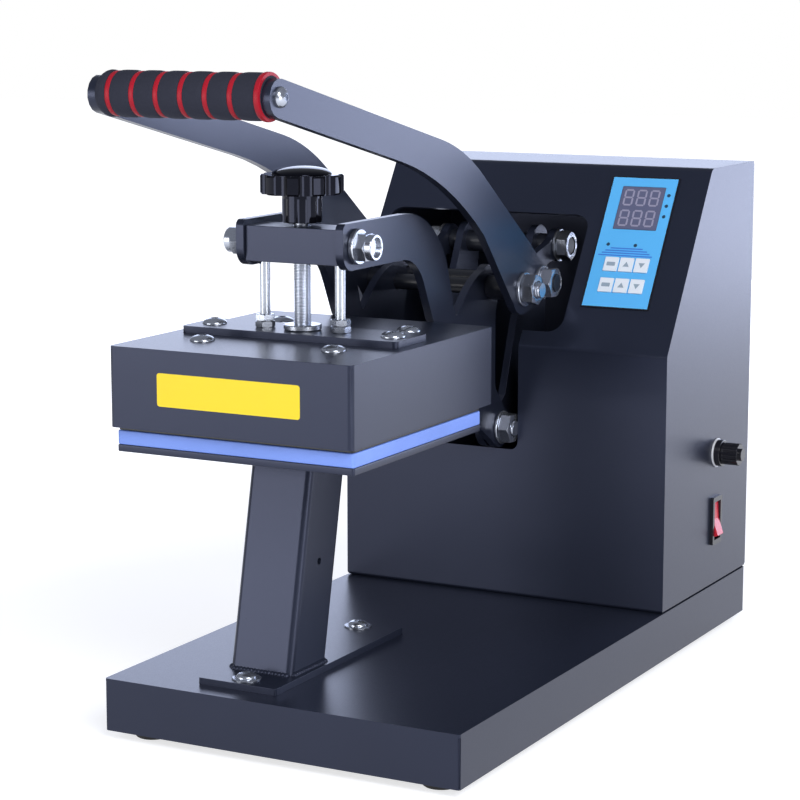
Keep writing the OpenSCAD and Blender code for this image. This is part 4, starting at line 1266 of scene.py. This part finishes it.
# %% Lamps
def area_lamp(name, place, aim, size, power, color=(1, 1, 1)):
    """Square soft lamp at a place, facing a point."""
    deselect()
    bpy.ops.object.light_add(type="AREA", location=place)
    lamp = bpy.context.object
    lamp.name = name
    lamp.data.size = size
    lamp.data.energy = power
    lamp.data.color = color
    lamp.rotation_euler = (Vector(aim) - Vector(place)).to_track_quat("-Z", "Y").to_euler()
    return lamp


PRESS_MIDDLE = (0, 0, 0.18)
COOL = (0.68, 0.76, 1.0)
area_lamp("right_softbox", (1.75, -0.75, 0.15), PRESS_MIDDLE, 0.8, 9)
area_lamp("right_back_sheet", (1.0, 1.6, 0.1), PRESS_MIDDLE, 1.4, 27, COOL)
area_lamp("front_softbox", (-1.1, -1.9, 0.2), PRESS_MIDDLE, 1.2, 20)
area_lamp("high_front_softbox", (1.25, -1.2, 1.25), PRESS_MIDDLE, 0.9, 26)
area_lamp("left_back_sheet", (-0.95, 1.7, 0.45), PRESS_MIDDLE, 1.4, 15, COOL)

# %% [markdown]
# The paper behind and below the press is white. The world is plain white to the camera and through
# glass, and dimmer as a source of light, so the charcoal paint stays dark. The floor glows to the
# camera and in reflections. Near the press it keeps a part of its own shading, which holds the
# soft shadow under the tray, and further off it fades to plain white.


# %% World and floor
def seen_directly(tree, kinds):
    """1 for the kinds of ray named, and 0 for the others."""
    path = tree.nodes.new("ShaderNodeLightPath")
    value = path.outputs[kinds[0]]
    for kind in kinds[1:]:
        value = worked_out(tree, "MAXIMUM", value, path.outputs[kind])
    return value


world = bpy.data.worlds.new("studio")
bpy.context.scene.world = world
world.use_nodes = True
nodes, links = world.node_tree.nodes, world.node_tree.links
nodes.clear()
output = nodes.new("ShaderNodeOutputWorld")
fill = preset(nodes.new("ShaderNodeBackground"), {"Color": (0.82, 0.87, 1.0, 1), "Strength": 0.3})
white = preset(nodes.new("ShaderNodeBackground"), {"Color": (1, 1, 1, 1), "Strength": 1.0})
both = nodes.new("ShaderNodeMixShader")
links.new(seen_directly(world.node_tree, ["Is Camera Ray", "Is Transmission Ray"]), both.inputs["Fac"])
links.new(fill.outputs[0], both.inputs[1])
links.new(white.outputs[0], both.inputs[2])
links.new(both.outputs[0], output.inputs["Surface"])

deselect()
bpy.ops.mesh.primitive_plane_add(size=12, location=(0, 0, 0))
floor = renamed(bpy.context.object, "floor")
material = bpy.data.materials.new("floor_white")
material.use_nodes = True
nodes, links = material.node_tree.nodes, material.node_tree.links
shader = nodes["Principled BSDF"]
preset(shader, {"Base Color": (0.55, 0.56, 0.6, 1), "Roughness": 0.9, "Emission Color": (1, 1, 1, 1)})
place = nodes.new("ShaderNodeTexCoord")
reach = nodes.new("ShaderNodeVectorMath")
reach.operation = "LENGTH"
links.new(place.outputs["Object"], reach.inputs[0])
glow = nodes.new("ShaderNodeMapRange")
preset(glow, {"From Min": 0.35, "From Max": 0.8, "To Min": 0.7, "To Max": 1.0})
links.new(reach.outputs["Value"], glow.inputs["Value"])
seen = seen_directly(material.node_tree, ["Is Camera Ray", "Is Glossy Ray"])
level = worked_out(material.node_tree, "MULTIPLY", seen, glow.outputs["Result"])
links.new(level, shader.inputs["Emission Strength"])
floor.data.materials.append(material)
bpy.context.scene.view_settings.view_transform = "Standard"
print("world and floor done")
